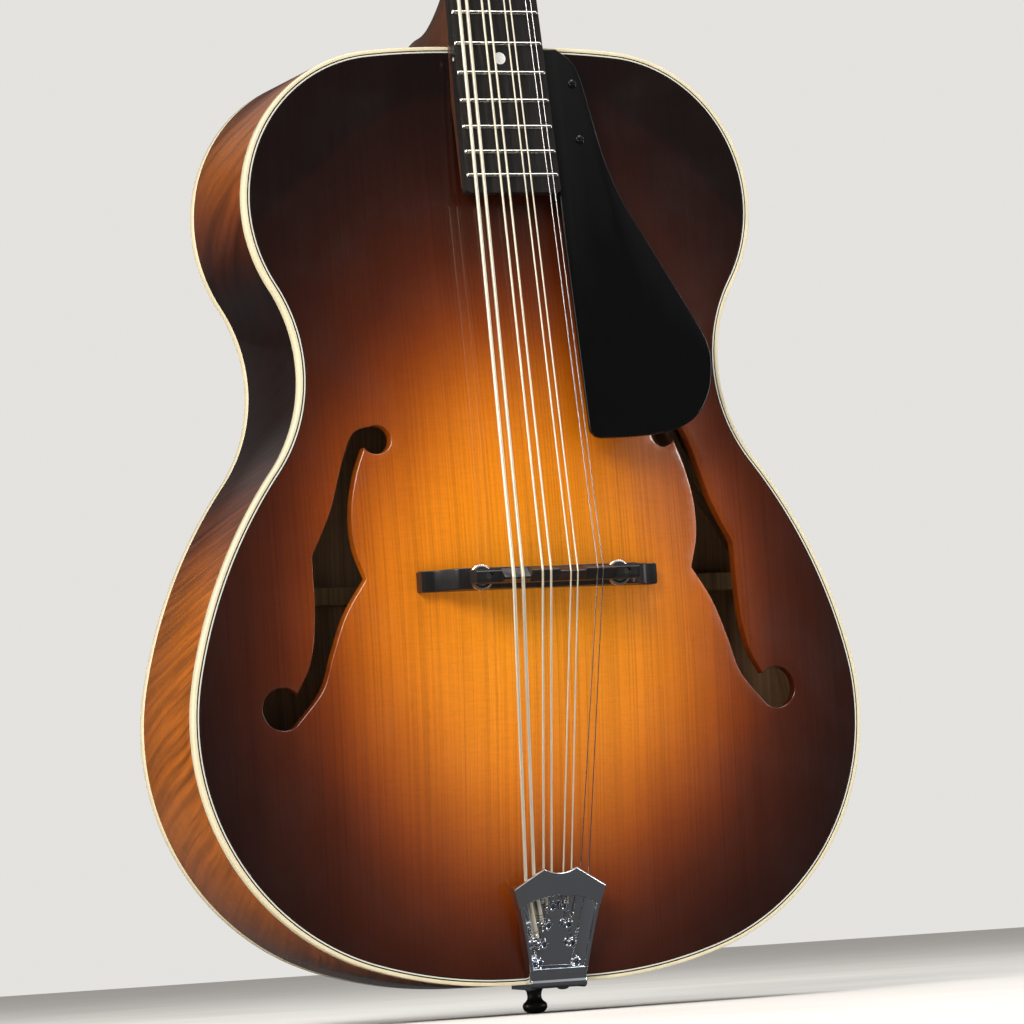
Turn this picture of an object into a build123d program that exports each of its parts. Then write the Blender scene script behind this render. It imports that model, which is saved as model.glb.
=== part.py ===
from build123d import *
import math
import os

# Eight-string mandocello with a carved, arched, guitar-shaped body. Millimetres.
# Frame: +Z up the neck, the carved top faces -Y, +X is the treble side seen from the front.
# The origin is where the end pin seats on the tail: z = 0 is the outside of the rim at the tail.

# ---- driving dimensions -------------------------------------------------------------
SCALE = 628.65  # speaking length of the open strings
FRET_COUNT = 19
BODY_JOINT_FRET = 14

RIM_DEPTH = 82.0
PIN_DEPTH = 26.0  # end-pin axis, measured back from the front edge
PLATE_THICKNESS = 6.0
RIB_THICKNESS = 2.6
TOP_ARCH_RISE = 17.0
BACK_ARCH_RISE = 15.0
ARCH_CENTRE_Z = 215.0
ARCH_OVAL_HALF_WIDTH = 150.0

# Half outline, from the middle of the tail round to the neck: a short flat, then tangent arcs
# given as (radius, swept angle); the waist arc turns the other way.
TAIL_FLAT = 20.0
BOUT_ARCS = [(248.2, 17.86), (129.3, 84.67), (262.5, 25.14), (81.4, -69.46), (80.1, 116.01), (441.4, 5.78)]

BINDING_WIDTH = 2.0
PURFLING_DEPTH = 1.5
PURFLING_BLACK = 0.5
PURFLING_WHITE = 0.7

NECK_TILT = 6.2  # degrees that the neck leans back from the rim plane
HEAD_ANGLE = 14.0  # further lean of the headstock
BOARD_HEIGHT_AT_BODY = 9.6  # fingerboard surface above the front edge where the neck meets the body
BOARD_THICKNESS = 6.0
BOARD_END = 428.0  # from the nut to the loose end of the fingerboard
NUT_HALF_WIDTH = 18.5
BOARD_TAPER = 0.0181  # gain of half-width per millimetre from the nut
NUT_THICKNESS = 5.0
FRET_WIDTH = 2.2
FRET_HEIGHT = 1.15
FRET_SLOT = 0.6

BRIDGE_Z = 206.0
STRING_HEIGHT_AT_BRIDGE = 44.2  # underside of the strings above the front edge
THUMBWHEEL_X = 38.0
BRIDGE_HALF_LENGTH = 65.4
RUNNING_CLEARANCE = 0.05

# One entry per course, bass to treble: string radius, gap within the pair, and the course centre
# at the tailpiece, the saddle and the nut, then the saddle's compensation along Z.
COURSES = {
    "c": (0.94, (4.5, 5.0, 3.5), (-15.5, -23.8, -13.6), -1.6),
    "g": (0.61, (4.5, 4.6, 3.2), (-5.7, -7.8, -4.5), 1.4),
    "d": (0.43, (4.5, 3.8, 2.9), (5.2, 7.4, 4.6), 0.4),
    "a": (0.28, (4.5, 3.0, 2.6), (14.8, 22.0, 13.7), 1.4),
}

POST_X = 21.0
POST_V = [45.0, 71.0, 97.0, 123.0]  # string posts up the headstock, from the nut
POST_RADIUS = 3.0
GEAR_TEETH = 15
GEAR_RADIUS = 6.5
WORM_OFFSET = 9.65
HEAD_THICKNESS = 16.0
HEAD_LENGTH = 186.0
VENEER_THICKNESS = 1.5
TUNER_PLATE_THICKNESS = 1.2

FRONT_Y = -PIN_DEPTH
BACK_Y = RIM_DEPTH - PIN_DEPTH

os.makedirs("parts", exist_ok=True)


def front(height):
    """Y of a point that stands this far out of the front edge plane."""
    return FRONT_Y - height


def save(builder, name):
    """Labels a finished piece and writes it as its own STEP file."""
    builder.part.label = name
    export_step(builder.part, f"parts/{name}.step")


# ---- body outline and arching ----------------------------------------------------------
# Plan sketches use local X across the body and local Y up it; rim_plane(y) stands them upright.
with BuildLine() as half_outline:
    edge = Line((0, 0), (TAIL_FLAT, 0))
    for arc_radius, arc_turn in BOUT_ARCS:
        edge = JernArc(start=edge @ 1, tangent=edge % 1, radius=arc_radius, arc_size=arc_turn)
    BODY_LENGTH = (edge @ 1).Y
    Line(edge @ 1, (0, BODY_LENGTH))

with BuildSketch() as body_plan:
    with BuildLine():
        add(half_outline.line)
        mirror(about=Plane.YZ)
    make_face()

outline_samples = []
for outline_edge in half_outline.edges():
    for sample in range(121):
        outline_point = outline_edge @ (sample / 120)
        angle_from_centre = math.atan2(outline_point.Y - ARCH_CENTRE_Z, outline_point.X)
        outline_samples.append(
            (angle_from_centre, math.hypot(outline_point.X, outline_point.Y - ARCH_CENTRE_Z))
        )
outline_samples.sort()


def rim_plane(y):
    """Plane parallel to the rim at a depth, facing the front."""
    return Plane(origin=(0, y, 0), x_dir=(1, 0, 0), z_dir=(0, -1, 0))


def reach_to_edge(angle):
    """Distance from the arch's centre to the body's outline in one direction."""
    for (a0, r0), (a1, r1) in zip(outline_samples, outline_samples[1:]):
        if a0 <= angle <= a1 and a1 > a0:
            return r0 + (r1 - r0) * (angle - a0) / (a1 - a0)
    return outline_samples[0][1] if angle < 0 else outline_samples[-1][1]


def arch(x, z, rise):
    """Height of a carved plate above its rim. The contours follow the outline near the edge
    and turn into ovals towards the middle; the last twentieth is the flat recurve."""
    up = z - ARCH_CENTRE_Z
    angle = math.atan2(up, abs(x))
    distance = math.hypot(x, up)
    outer = reach_to_edge(angle)
    if distance >= outer:
        return 0.0
    tall = BODY_LENGTH - ARCH_CENTRE_Z if up > 0 else ARCH_CENTRE_Z
    oval = 1 / math.hypot(math.cos(angle) / ARCH_OVAL_HALF_WIDTH, math.sin(angle) / tall)
    share = distance / outer
    for _ in range(12):
        share = distance / (oval * (1 - share**2) + outer * share**2)
    carved = min(share / 0.95, 1.0)
    return rise * math.cos(math.pi / 2 * carved**1.15) ** 2


RIM_DIP = 0.5  # the carved surface runs just under the flat rim, so that the two cross cleanly


def arch_face(base_y, rise, direction):
    """The carved surface as one spline face, wider than the body all round."""
    rows = []
    for i in range(33):
        z = -12 + (BODY_LENGTH + 24) * i / 32
        across = [-198 + 16.5 * k for k in range(25)]
        rows.append([Vector(x, base_y + direction * (arch(x, z, rise) - RIM_DIP), z) for x in across])
    return Face.make_surface_from_array_of_points(rows, tol=0.05, smoothing=(1, 1, 1), min_deg=3, max_deg=5)


top_surface = arch_face(FRONT_Y, TOP_ARCH_RISE, -1)
top_underside = arch_face(FRONT_Y + PLATE_THICKNESS, TOP_ARCH_RISE, -1)
back_underside = arch_face(BACK_Y - PLATE_THICKNESS, BACK_ARCH_RISE, 1)

# ---- neck frames ------------------------------------------------------------------------
# BOARD lies on the fingerboard's surface at the nut: X across, local Y up the neck, local Z
# out of the playing face. BOARD_SIDE is the same place seen edge-on, for profiles.
tilt = math.radians(NECK_TILT)
joint_distance = SCALE * (1 - 2 ** (-BODY_JOINT_FRET / 12))
NUT_POINT = (
    0,
    front(BOARD_HEIGHT_AT_BODY) + joint_distance * math.sin(tilt),
    BODY_LENGTH + joint_distance * math.cos(tilt),
)
BOARD = Plane(origin=NUT_POINT, x_dir=(1, 0, 0), z_dir=(0, -math.cos(tilt), math.sin(tilt)))
BOARD_SIDE = Plane(origin=NUT_POINT, x_dir=(0, math.sin(tilt), math.cos(tilt)), z_dir=(1, 0, 0))

head_lean = math.radians(NECK_TILT + HEAD_ANGLE)
HEAD_DROP = 3.0
HEAD = Plane(
    origin=BOARD.from_local_coords((0, NUT_THICKNESS, -HEAD_DROP)),
    x_dir=(1, 0, 0),
    z_dir=(0, -math.cos(head_lean), math.sin(head_lean)),
)


def board_half_width(distance):
    """Half-width of the fingerboard at a distance from the nut."""
    return NUT_HALF_WIDTH + BOARD_TAPER * distance


def fret_distance(number):
    """Distance of a fret from the nut, by the twelfth root of two."""
    return SCALE * (1 - 2 ** (-number / 12))


def neck_section(distance):
    """Plane square to the neck at a distance below the nut; local Y points to the player's palm."""
    origin = BOARD.from_local_coords((0, -distance, 0))
    return Plane(origin=origin, x_dir=(1, 0, 0), z_dir=(0, math.sin(tilt), math.cos(tilt)))


# ---- strings ----------------------------------------------------------------------------
TAIL_RISE = 11.3  # degrees that the tailpiece climbs away from the top
TAIL_HEIGHT = 7.6  # tailpiece face above the front edge, at the tail
TAIL = Plane(
    origin=(0, front(TAIL_HEIGHT), 0),
    x_dir=(1, 0, 0),
    z_dir=(0, -math.cos(math.radians(TAIL_RISE)), -math.sin(math.radians(TAIL_RISE))),
)
TAIL_FLOOR = -6.0
PEG_RADIUS = 1.75
PEG_ROWS = [(9.9, 9.9), (7.7, 19.4), (5.5, 29.0), (3.2, 38.6)]  # outermost string to innermost

string_lines = []
for course_index, (course, (radius, gaps, centres, compensation)) in enumerate(COURSES.items()):
    for member in range(2):
        side = -1 if member == 0 else 1
        tail_x, saddle_x, nut_x = [c + side * g / 2 for c, g in zip(centres, gaps)]
        hand = -1 if course_index < 2 else 1
        outer_rank = course_index * 2 + member if hand < 0 else 7 - (course_index * 2 + member)
        peg_x, peg_v = PEG_ROWS[outer_rank]
        post_inner_x = hand * (POST_X - POST_RADIUS - radius - 0.06)
        string_lines.append(
            {
                "course": course,
                "radius": radius,
                "hand": hand,
                "rank": outer_rank,
                "points": [
                    TAIL.from_local_coords((hand * peg_x, peg_v + PEG_RADIUS + radius + 0.1, -3.9)),
                    TAIL.from_local_coords((tail_x, 53.5, -3.6)),
                    Vector(saddle_x, front(STRING_HEIGHT_AT_BRIDGE + radius), BRIDGE_Z + compensation),
                    BOARD.from_local_coords((nut_x, 1.0, 1.35 + radius)),
                    HEAD.from_local_coords((post_inner_x, POST_V[outer_rank], 6.0)),
                ],
            }
        )


BEND_SWELL = 1.03  # a bend is this much fatter than the wire


def round_run(points, radius):
    """Straight round wire from point to point, with a ball in each bend."""
    with BuildPart() as run:
        for a, b in zip(points, points[1:]):
            with Locations(Plane(origin=a, z_dir=b - a)):
                Cylinder(radius, (b - a).length, align=(Align.CENTER, Align.CENTER, Align.MIN))
        for bend in points[1:-1]:
            with Locations(bend):
                Sphere(radius * BEND_SWELL)
    return run.part


# Each string's own channel, slightly wider than the string, cut into the nut and the saddle.
string_channels = [round_run(s["points"][1:], s["radius"] + RUNNING_CLEARANCE) for s in string_lines]

for course in COURSES:
    with BuildPart() as string_pair:
        for line in string_lines:
            if line["course"] == course:
                add(round_run(line["points"], line["radius"]))
    save(string_pair, f"strings_{course}")

# ---- carved plates, ribs, linings, blocks -------------------------------------------------
TENON_HALF_WIDTH = 12.0
TENON_DEPTH_Z = 18.0
TENON_BACK_Y = 36.0
TAIL_BLOCK_HEIGHT = 22.0
NECK_BLOCK_HEIGHT = 46.0
BLOCK_HALF_WIDTH = 34.0
LINING_WIDTH = 6.0
LINING_HEIGHT = 12.0
PIN_SHANK_RADIUS = 2.4

# Treble f-hole, (x, z): round eyes, a long stem that widens to a nick on each side.
UPPER_EYE = (80.0, 280.0)
UPPER_EYE_RADIUS = 7.4
LOWER_EYE = (137.4, 145.6)
LOWER_EYE_RADIUS = 10.8
INNER_EDGE_UPPER = [(86.0, 277.0), (91.8, 262.0), (95.6, 244.0), (95.4, 226.0), (90.6, 209.4)]
INNER_EDGE_LOWER = [(90.6, 209.4), (102.0, 192.0), (110.0, 172.0), (116.5, 154.0), (131.0, 136.9)]
OUTER_EDGE_LOWER = [(129.6, 153.2), (122.0, 168.0), (118.2, 190.0), (117.4, 222.0)]
OUTER_EDGE_UPPER = [(117.4, 222.0), (106.4, 244.0), (97.8, 270.0), (91.0, 284.0), (80.0, 287.4)]

with BuildSketch(rim_plane(FRONT_Y)) as f_holes:
    with BuildLine():
        Spline(INNER_EDGE_UPPER)
        Spline(INNER_EDGE_LOWER)
        Line(INNER_EDGE_LOWER[-1], OUTER_EDGE_LOWER[0])
        Spline(OUTER_EDGE_LOWER)
        Spline(OUTER_EDGE_UPPER)
        Line(OUTER_EDGE_UPPER[-1], INNER_EDGE_UPPER[0])
    make_face()
    with Locations(UPPER_EYE):
        Circle(UPPER_EYE_RADIUS)
    with Locations(LOWER_EYE):
        Circle(LOWER_EYE_RADIUS)
    mirror(about=Plane.YZ)

PURFLING_STEPS = [
    BINDING_WIDTH,
    BINDING_WIDTH + PURFLING_BLACK,
    BINDING_WIDTH + PURFLING_BLACK + PURFLING_WHITE,
    BINDING_WIDTH + 2 * PURFLING_BLACK + PURFLING_WHITE,
]


def slab_sketch(inset, base_y):
    """The whole body outline, inset, in a plane parallel to the rim."""
    with BuildSketch(rim_plane(base_y)) as slab:
        add(body_plan.sketch)
        if inset:
            offset(amount=-inset, mode=Mode.REPLACE)
    return slab.sketch


def ring_sketch(outer_inset, inner_inset, base_y):
    """Band between two insets of the body outline, in a plane parallel to the rim."""
    return slab_sketch(outer_inset, base_y) - slab_sketch(inner_inset, base_y)


PIN_SHANK_LENGTH = 19.0
TAIL_SCREW_RADIUS = 1.5
TAIL_SCREW_LENGTH = 14.0
TAIL_SCREW_SPOTS = [(-9.0, -17.0, 0), (9.0, -17.0, 0)]
BUSHING_RADIUS = 4.6

TENON_BOX = (2 * TENON_HALF_WIDTH, TENON_BACK_Y - front(0.0), TENON_DEPTH_Z + 6)
TENON_AT = (0, (TENON_BACK_Y + front(0.0)) / 2, BODY_LENGTH - TENON_DEPTH_Z + TENON_BOX[2] / 2)

FLAT_RIM = 30.0


def carved_plate(surface, base_y, behind):
    """Plate cut from a carved surface, with a flat rim that meets the ribs; behind is the rib side."""
    with BuildPart() as plate:
        extrude(surface, amount=PLATE_THICKNESS, dir=(0, 1, 0))
        extrude(slab_sketch(BINDING_WIDTH, BACK_Y + 40), amount=200, mode=Mode.INTERSECT)
        extrude(ring_sketch(BINDING_WIDTH, FLAT_RIM, base_y + PLATE_THICKNESS), amount=PLATE_THICKNESS)
        clear_y = base_y + PLATE_THICKNESS if behind > 0 else base_y
        extrude(ring_sketch(0, FLAT_RIM, clear_y), amount=-10 * behind, mode=Mode.SUBTRACT)
    return plate.part


with BuildPart() as top_plate:
    add(carved_plate(top_surface, FRONT_Y, 1))
    extrude(f_holes.sketch, amount=40, both=True, mode=Mode.SUBTRACT)
    extrude(
        ring_sketch(PURFLING_STEPS[0], PURFLING_STEPS[3], FRONT_Y + PURFLING_DEPTH),
        amount=20,
        mode=Mode.SUBTRACT,
    )
    with Locations(TENON_AT):
        Box(*TENON_BOX, mode=Mode.SUBTRACT)
save(top_plate, "top_plate")

with BuildPart() as back_plate:
    add(carved_plate(back_underside, BACK_Y - PLATE_THICKNESS, -1))
save(back_plate, "back_plate")

# Ribs: two bent strips that meet over the tail and neck blocks.
RIB_FRONT_Y = FRONT_Y + PLATE_THICKNESS
RIB_BACK_Y = BACK_Y - PLATE_THICKNESS
RIB_SPAN = RIB_BACK_Y - RIB_FRONT_Y

for side_name, side in (("bass", -1), ("treble", 1)):
    with BuildPart() as rib:
        extrude(ring_sketch(0, RIB_THICKNESS, RIB_BACK_Y), amount=RIB_SPAN)
        with Locations((-side * 300, 0, BODY_LENGTH / 2)):
            Box(600, 300, 900, mode=Mode.SUBTRACT)
        with Locations(TENON_AT):
            Box(*TENON_BOX, mode=Mode.SUBTRACT)
        with Locations(Plane.XY):
            Cylinder(PIN_SHANK_RADIUS, 20, mode=Mode.SUBTRACT)
        with Locations(*TAIL_SCREW_SPOTS):
            Cylinder(TAIL_SCREW_RADIUS, 20, mode=Mode.SUBTRACT)
    save(rib, f"rib_{side_name}")

# The two end blocks stop just short of the carved undersides.
BLOCK_SPAN = RIB_SPAN - 2 * RIM_DIP

with BuildPart() as neck_block:
    extrude(slab_sketch(RIB_THICKNESS, RIB_BACK_Y - RIM_DIP), amount=BLOCK_SPAN)
    with Locations((0, 15, BODY_LENGTH - NECK_BLOCK_HEIGHT / 2)):
        Box(2 * BLOCK_HALF_WIDTH, 200, NECK_BLOCK_HEIGHT, mode=Mode.INTERSECT)
    with Locations(TENON_AT):
        Box(*TENON_BOX, mode=Mode.SUBTRACT)
save(neck_block, "neck_block")

with BuildPart() as tail_block:
    extrude(slab_sketch(RIB_THICKNESS, RIB_BACK_Y - RIM_DIP), amount=BLOCK_SPAN)
    with Locations((0, 15, TAIL_BLOCK_HEIGHT / 2)):
        Box(2 * BLOCK_HALF_WIDTH, 200, TAIL_BLOCK_HEIGHT, mode=Mode.INTERSECT)
    with Locations(Plane.XY):
        Cylinder(PIN_SHANK_RADIUS, 2 * PIN_SHANK_LENGTH, mode=Mode.SUBTRACT)
    with Locations(*TAIL_SCREW_SPOTS):
        Cylinder(TAIL_SCREW_RADIUS, 2 * TAIL_SCREW_LENGTH, mode=Mode.SUBTRACT)
save(tail_block, "tail_block")

for end_name, lining_y in (("front", RIB_FRONT_Y + LINING_HEIGHT), ("back", RIB_BACK_Y)):
    with BuildPart() as lining:
        extrude(ring_sketch(RIB_THICKNESS, RIB_THICKNESS + LINING_WIDTH, lining_y), amount=LINING_HEIGHT)
        with Locations((0, 15, BODY_LENGTH - NECK_BLOCK_HEIGHT / 2), (0, 15, TAIL_BLOCK_HEIGHT / 2)):
            Box(2 * BLOCK_HALF_WIDTH, 200, NECK_BLOCK_HEIGHT, mode=Mode.SUBTRACT)
    save(lining, f"lining_{end_name}")

# Tone bars run lengthways, carved to the underside of the top.
BAR_HEIGHT = 12.0
BAR_WIDTH = 6.5
with BuildPart() as tone_bars:
    extrude(top_underside, amount=BAR_HEIGHT + RIM_DIP, dir=(0, 1, 0))
    with BuildSketch(rim_plane(RIB_BACK_Y)):
        with BuildLine():
            Polyline((34, 404), (41, 404), (54, 92), (47, 92), close=True)
        make_face()
        mirror(about=Plane.YZ)
    extrude(amount=200, mode=Mode.INTERSECT)
save(tone_bars, "tone_bars")

BACK_BRACE_Z = 207.0
with BuildPart() as back_brace:
    extrude(back_underside, amount=10, dir=(0, -1, 0))
    with Locations((0, 0, BACK_BRACE_Z)):
        Box(2 * 158, 300, 9, mode=Mode.INTERSECT)
save(back_brace, "back_brace")

# ---- bindings and purfling --------------------------------------------------------------
for name, base_y in (("top_binding", RIB_FRONT_Y), ("back_binding", BACK_Y)):
    with BuildPart() as binding:
        extrude(ring_sketch(0, BINDING_WIDTH, base_y), amount=PLATE_THICKNESS)
        if name == "top_binding":
            with Locations(TENON_AT):
                Box(*TENON_BOX, mode=Mode.SUBTRACT)
    save(binding, name)

with BuildPart() as purfling_black:
    for outer_step, inner_step in ((0, 1), (2, 3)):
        extrude(
            ring_sketch(PURFLING_STEPS[outer_step], PURFLING_STEPS[inner_step], FRONT_Y + PURFLING_DEPTH),
            amount=PURFLING_DEPTH,
        )
    with Locations(TENON_AT):
        Box(*TENON_BOX, mode=Mode.SUBTRACT)
save(purfling_black, "top_purfling_black")

with BuildPart() as purfling_white:
    extrude(
        ring_sketch(PURFLING_STEPS[1], PURFLING_STEPS[2], FRONT_Y + PURFLING_DEPTH),
        amount=PURFLING_DEPTH,
    )
    with Locations(TENON_AT):
        Box(*TENON_BOX, mode=Mode.SUBTRACT)
save(purfling_white, "top_purfling_white")

# ---- neck -------------------------------------------------------------------------------
NECK_DEPTH_AT_NUT = 21.5
NECK_DEPTH_AT_HEEL = 25.0
SHAFT_END = 338.0
HEEL_BACK_Y = BACK_Y - 0.5
HEEL_CAP_THICKNESS = 2.5
# Heel sections from the fingerboard to the cap: (y, half-width, reach up the neck).
HEEL_SECTIONS = [
    (front(3.0), 25.0, 78.0),
    (-12.0, 24.2, 52.0),
    (12.0, 21.8, 32.0),
    (36.0, 18.6, 23.5),
    (HEEL_BACK_Y, 16.6, 21.5),
]
ROD_DEPTH = 11.0
ROD_RADIUS = 2.4
ROD_NUT_RADIUS = 4.4
HEAD_BOTTOM_HALF_WIDTH = 20.0
HEAD_SHOULDER_HALF_WIDTH = 33.0
HEAD_TOP_HALF_WIDTH = 37.0


def head_outline():
    """Paddle headstock with swept shoulders and a shallow scroll across the top."""
    with BuildSketch() as outline:
        with BuildLine():
            Line((0, -9), (HEAD_BOTTOM_HALF_WIDTH - 1.2, -9))
            Line((HEAD_BOTTOM_HALF_WIDTH - 1.2, -9), (HEAD_BOTTOM_HALF_WIDTH - 0.5, 4))
            Spline(
                (HEAD_BOTTOM_HALF_WIDTH - 0.5, 4),
                (24, 16),
                (HEAD_SHOULDER_HALF_WIDTH, 27),
                tangents=[(0, 1), (0.25, 1)],
            )
            Line((HEAD_SHOULDER_HALF_WIDTH, 27), (HEAD_TOP_HALF_WIDTH, 160))
            Spline(
                (HEAD_TOP_HALF_WIDTH, 160),
                (28, HEAD_LENGTH - 7),
                (12, HEAD_LENGTH - 2),
                (0, HEAD_LENGTH),
                tangents=[(-0.1, 1), (-1, 0)],
            )
            mirror(about=Plane.YZ)
        make_face()
    return outline.sketch


def heel_section(y, half_width, reach):
    """Half-round section of the heel, flat against the end of the body."""
    plane = Plane(origin=(0, y, BODY_LENGTH), x_dir=(1, 0, 0), z_dir=(0, -1, 0))
    with BuildSketch(plane) as section:
        with BuildLine():
            EllipticalCenterArc((0, 0), half_width, reach, arc_size=180)
            Line((-half_width, 0), (half_width, 0))
        make_face()
    return section.sketch


def shaft_section(distance, depth):
    """Half-round section of the neck shaft under the fingerboard."""
    half_width = board_half_width(distance)
    with BuildSketch(neck_section(distance)) as section:
        with BuildLine():
            Polyline(
                (half_width, BOARD_THICKNESS + 1.5),
                (half_width, BOARD_THICKNESS - 2),
                (-half_width, BOARD_THICKNESS - 2),
                (-half_width, BOARD_THICKNESS + 1.5),
            )
            EllipticalCenterArc(
                (0, BOARD_THICKNESS + 1.5),
                half_width,
                depth - BOARD_THICKNESS - 1.5,
                arc_size=180,
            )
        make_face()
    return section.sketch


ROD_DIRECTION = (0, math.sin(tilt), math.cos(tilt))

with BuildPart() as neck:
    loft([shaft_section(-7, NECK_DEPTH_AT_NUT - 1), shaft_section(SHAFT_END, NECK_DEPTH_AT_HEEL)])
    loft([heel_section(*section) for section in HEEL_SECTIONS])
    # tongue that carries the loose end of the fingerboard just clear of the top
    with BuildSketch(Plane.YZ):
        with BuildLine():
            Polyline(
                (front(0.4), BODY_LENGTH + 20),
                (front(0.4), BODY_LENGTH - 30),
                (front(6.6), BODY_LENGTH - 75),
                (front(20.0), BODY_LENGTH - 75),
                (front(8.0), BODY_LENGTH + 20),
                close=True,
            )
        make_face()
    extrude(amount=24.5, both=True)
    # tenon let into the neck block
    with Locations((0, TENON_AT[1], BODY_LENGTH - TENON_DEPTH_Z / 2)):
        Box(TENON_BOX[0], TENON_BOX[1], TENON_DEPTH_Z)
    # headstock
    with BuildSketch(HEAD.offset(-VENEER_THICKNESS)):
        add(head_outline())
    extrude(amount=-(HEAD_THICKNESS - VENEER_THICKNESS))
    # seats for the fingerboard and the nut
    with Locations(BOARD * Pos(0, -300, -BOARD_THICKNESS)):
        Box(120, 600, 60, align=(Align.CENTER, Align.CENTER, Align.MIN), mode=Mode.SUBTRACT)
    with Locations(BOARD * Pos(0, 0, -NUT_THICKNESS)):
        Box(
            120,
            NUT_THICKNESS,
            60,
            align=(Align.CENTER, Align.MIN, Align.MIN),
            mode=Mode.SUBTRACT,
        )
    with Locations(HEAD.offset(-VENEER_THICKNESS) * Pos(0, -20, 0)):
        Box(120, 80, 30, align=(Align.CENTER, Align.CENTER, Align.MIN), mode=Mode.SUBTRACT)
    # truss-rod channel, routed from the fingerboard side, and the pocket for its nut
    with Locations(BOARD * Pos(0, -160, -ROD_DEPTH - ROD_RADIUS - 0.1)):
        Box(2 * ROD_RADIUS + 0.2, 332, 20, align=(Align.CENTER, Align.CENTER, Align.MIN), mode=Mode.SUBTRACT)
    with Locations(BOARD * Pos(0, 5.5, -ROD_DEPTH - 5.4)):
        Box(11.6, 19.0, 30, align=(Align.CENTER, Align.MIN, Align.MIN), mode=Mode.SUBTRACT)
    # string-post holes
    for head_side in (-1, 1):
        for post_v in POST_V:
            with Locations(HEAD * Pos(head_side * POST_X, post_v, 0)):
                Cylinder(BUSHING_RADIUS, 80, mode=Mode.SUBTRACT)
save(neck, "neck")

with BuildPart() as heel_cap:
    extrude(heel_section(HEEL_BACK_Y + HEEL_CAP_THICKNESS, 16.6, 21.5), amount=HEEL_CAP_THICKNESS)
save(heel_cap, "heel_cap")

with BuildPart() as truss_rod:
    with Locations(BOARD * Pos(0, 4.0, -ROD_DEPTH) * Rot(90, 0, 0)):
        Cylinder(ROD_RADIUS, 322, align=(Align.CENTER, Align.CENTER, Align.MIN))
    with Locations(BOARD * Pos(0, 4.0, -ROD_DEPTH) * Rot(90, 0, 0)):
        Cylinder(1.6, 12, align=(Align.CENTER, Align.CENTER, Align.MAX))
save(truss_rod, "truss_rod")

with BuildPart() as truss_rod_nut:
    with BuildSketch(Plane(origin=BOARD.from_local_coords((0, 6.0, -ROD_DEPTH)), z_dir=ROD_DIRECTION)):
        RegularPolygon(ROD_NUT_RADIUS, 6)
        Circle(1.6 + RUNNING_CLEARANCE, mode=Mode.SUBTRACT)
    extrude(amount=12)
save(truss_rod_nut, "truss_rod_nut")

# ---- fingerboard, frets, markers, nut ------------------------------------------------------
DOT_RADIUS = 3.2
DOT_DEPTH = 1.5
DOT_FRETS = (5, 7, 10, 12, 15)
SIDE_DOT_RADIUS = 1.0


def fret_middle(number):
    """Distance of a marker from the nut: midway between a fret and the one before."""
    return (fret_distance(number) + fret_distance(number - 1)) / 2


dot_spots = []
for dot_fret in DOT_FRETS:
    if dot_fret == 12:
        dot_spots += [(-9.0, -fret_middle(12)), (9.0, -fret_middle(12))]
    else:
        dot_spots.append((0.0, -fret_middle(dot_fret)))

with BuildPart() as dots:
    with BuildSketch(BOARD.offset(-DOT_DEPTH)):
        with Locations(*dot_spots):
            Circle(DOT_RADIUS)
    extrude(amount=DOT_DEPTH)
    for dot_fret in DOT_FRETS:
        dot_at = fret_middle(dot_fret)
        with Locations(BOARD * Pos(-board_half_width(dot_at) + 1.2, -dot_at, -2.6) * Rot(0, -90, 0)):
            Cylinder(SIDE_DOT_RADIUS, 1.2 - 0.02, align=(Align.CENTER, Align.CENTER, Align.MIN))
save(dots, "position_dots")

with BuildPart() as fretboard:
    with BuildSketch(BOARD.offset(-BOARD_THICKNESS)):
        with BuildLine():
            Polyline(
                (-board_half_width(0), 0),
                (-board_half_width(BOARD_END), -BOARD_END),
                (board_half_width(BOARD_END), -BOARD_END),
                (board_half_width(0), 0),
                close=True,
            )
        make_face()
    extrude(amount=BOARD_THICKNESS)
    fillet(fretboard.edges().filter_by(Axis(NUT_POINT, BOARD.z_dir), tolerance=1).sort_by(Axis.Z)[:2], 2.0)
    for fret_number in range(1, FRET_COUNT + 1):
        with Locations(BOARD * Pos(0, -fret_distance(fret_number), -1.8)):
            Box(90, FRET_SLOT, 4, align=(Align.CENTER, Align.CENTER, Align.MIN), mode=Mode.SUBTRACT)
    with BuildSketch(BOARD.offset(-DOT_DEPTH)):
        with Locations(*dot_spots):
            Circle(DOT_RADIUS)
    extrude(amount=4, mode=Mode.SUBTRACT)
    for dot_fret in DOT_FRETS:
        dot_at = fret_middle(dot_fret)
        with Locations(BOARD * Pos(-board_half_width(dot_at) + 1.2, -dot_at, -2.6) * Rot(0, -90, 0)):
            Cylinder(
                SIDE_DOT_RADIUS,
                4,
                align=(Align.CENTER, Align.CENTER, Align.MIN),
                mode=Mode.SUBTRACT,
            )
save(fretboard, "fretboard")

with BuildPart() as frets:
    for fret_number in range(1, FRET_COUNT + 1):
        fret_at = fret_distance(fret_number)
        seat = Plane(
            origin=BOARD.from_local_coords((0, -fret_at, 0)),
            x_dir=BOARD_SIDE.x_dir,
            z_dir=BOARD_SIDE.z_dir,
        )
        with BuildSketch(seat):
            with BuildLine():
                EllipticalCenterArc((0, 0), FRET_WIDTH / 2, FRET_HEIGHT, arc_size=180)
                Line((-FRET_WIDTH / 2, 0), (FRET_WIDTH / 2, 0))
            make_face()
            with Locations((0, -0.85)):
                Rectangle(FRET_SLOT, 1.7)
        extrude(amount=board_half_width(fret_at) - 0.4, both=True)
save(frets, "frets")

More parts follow.
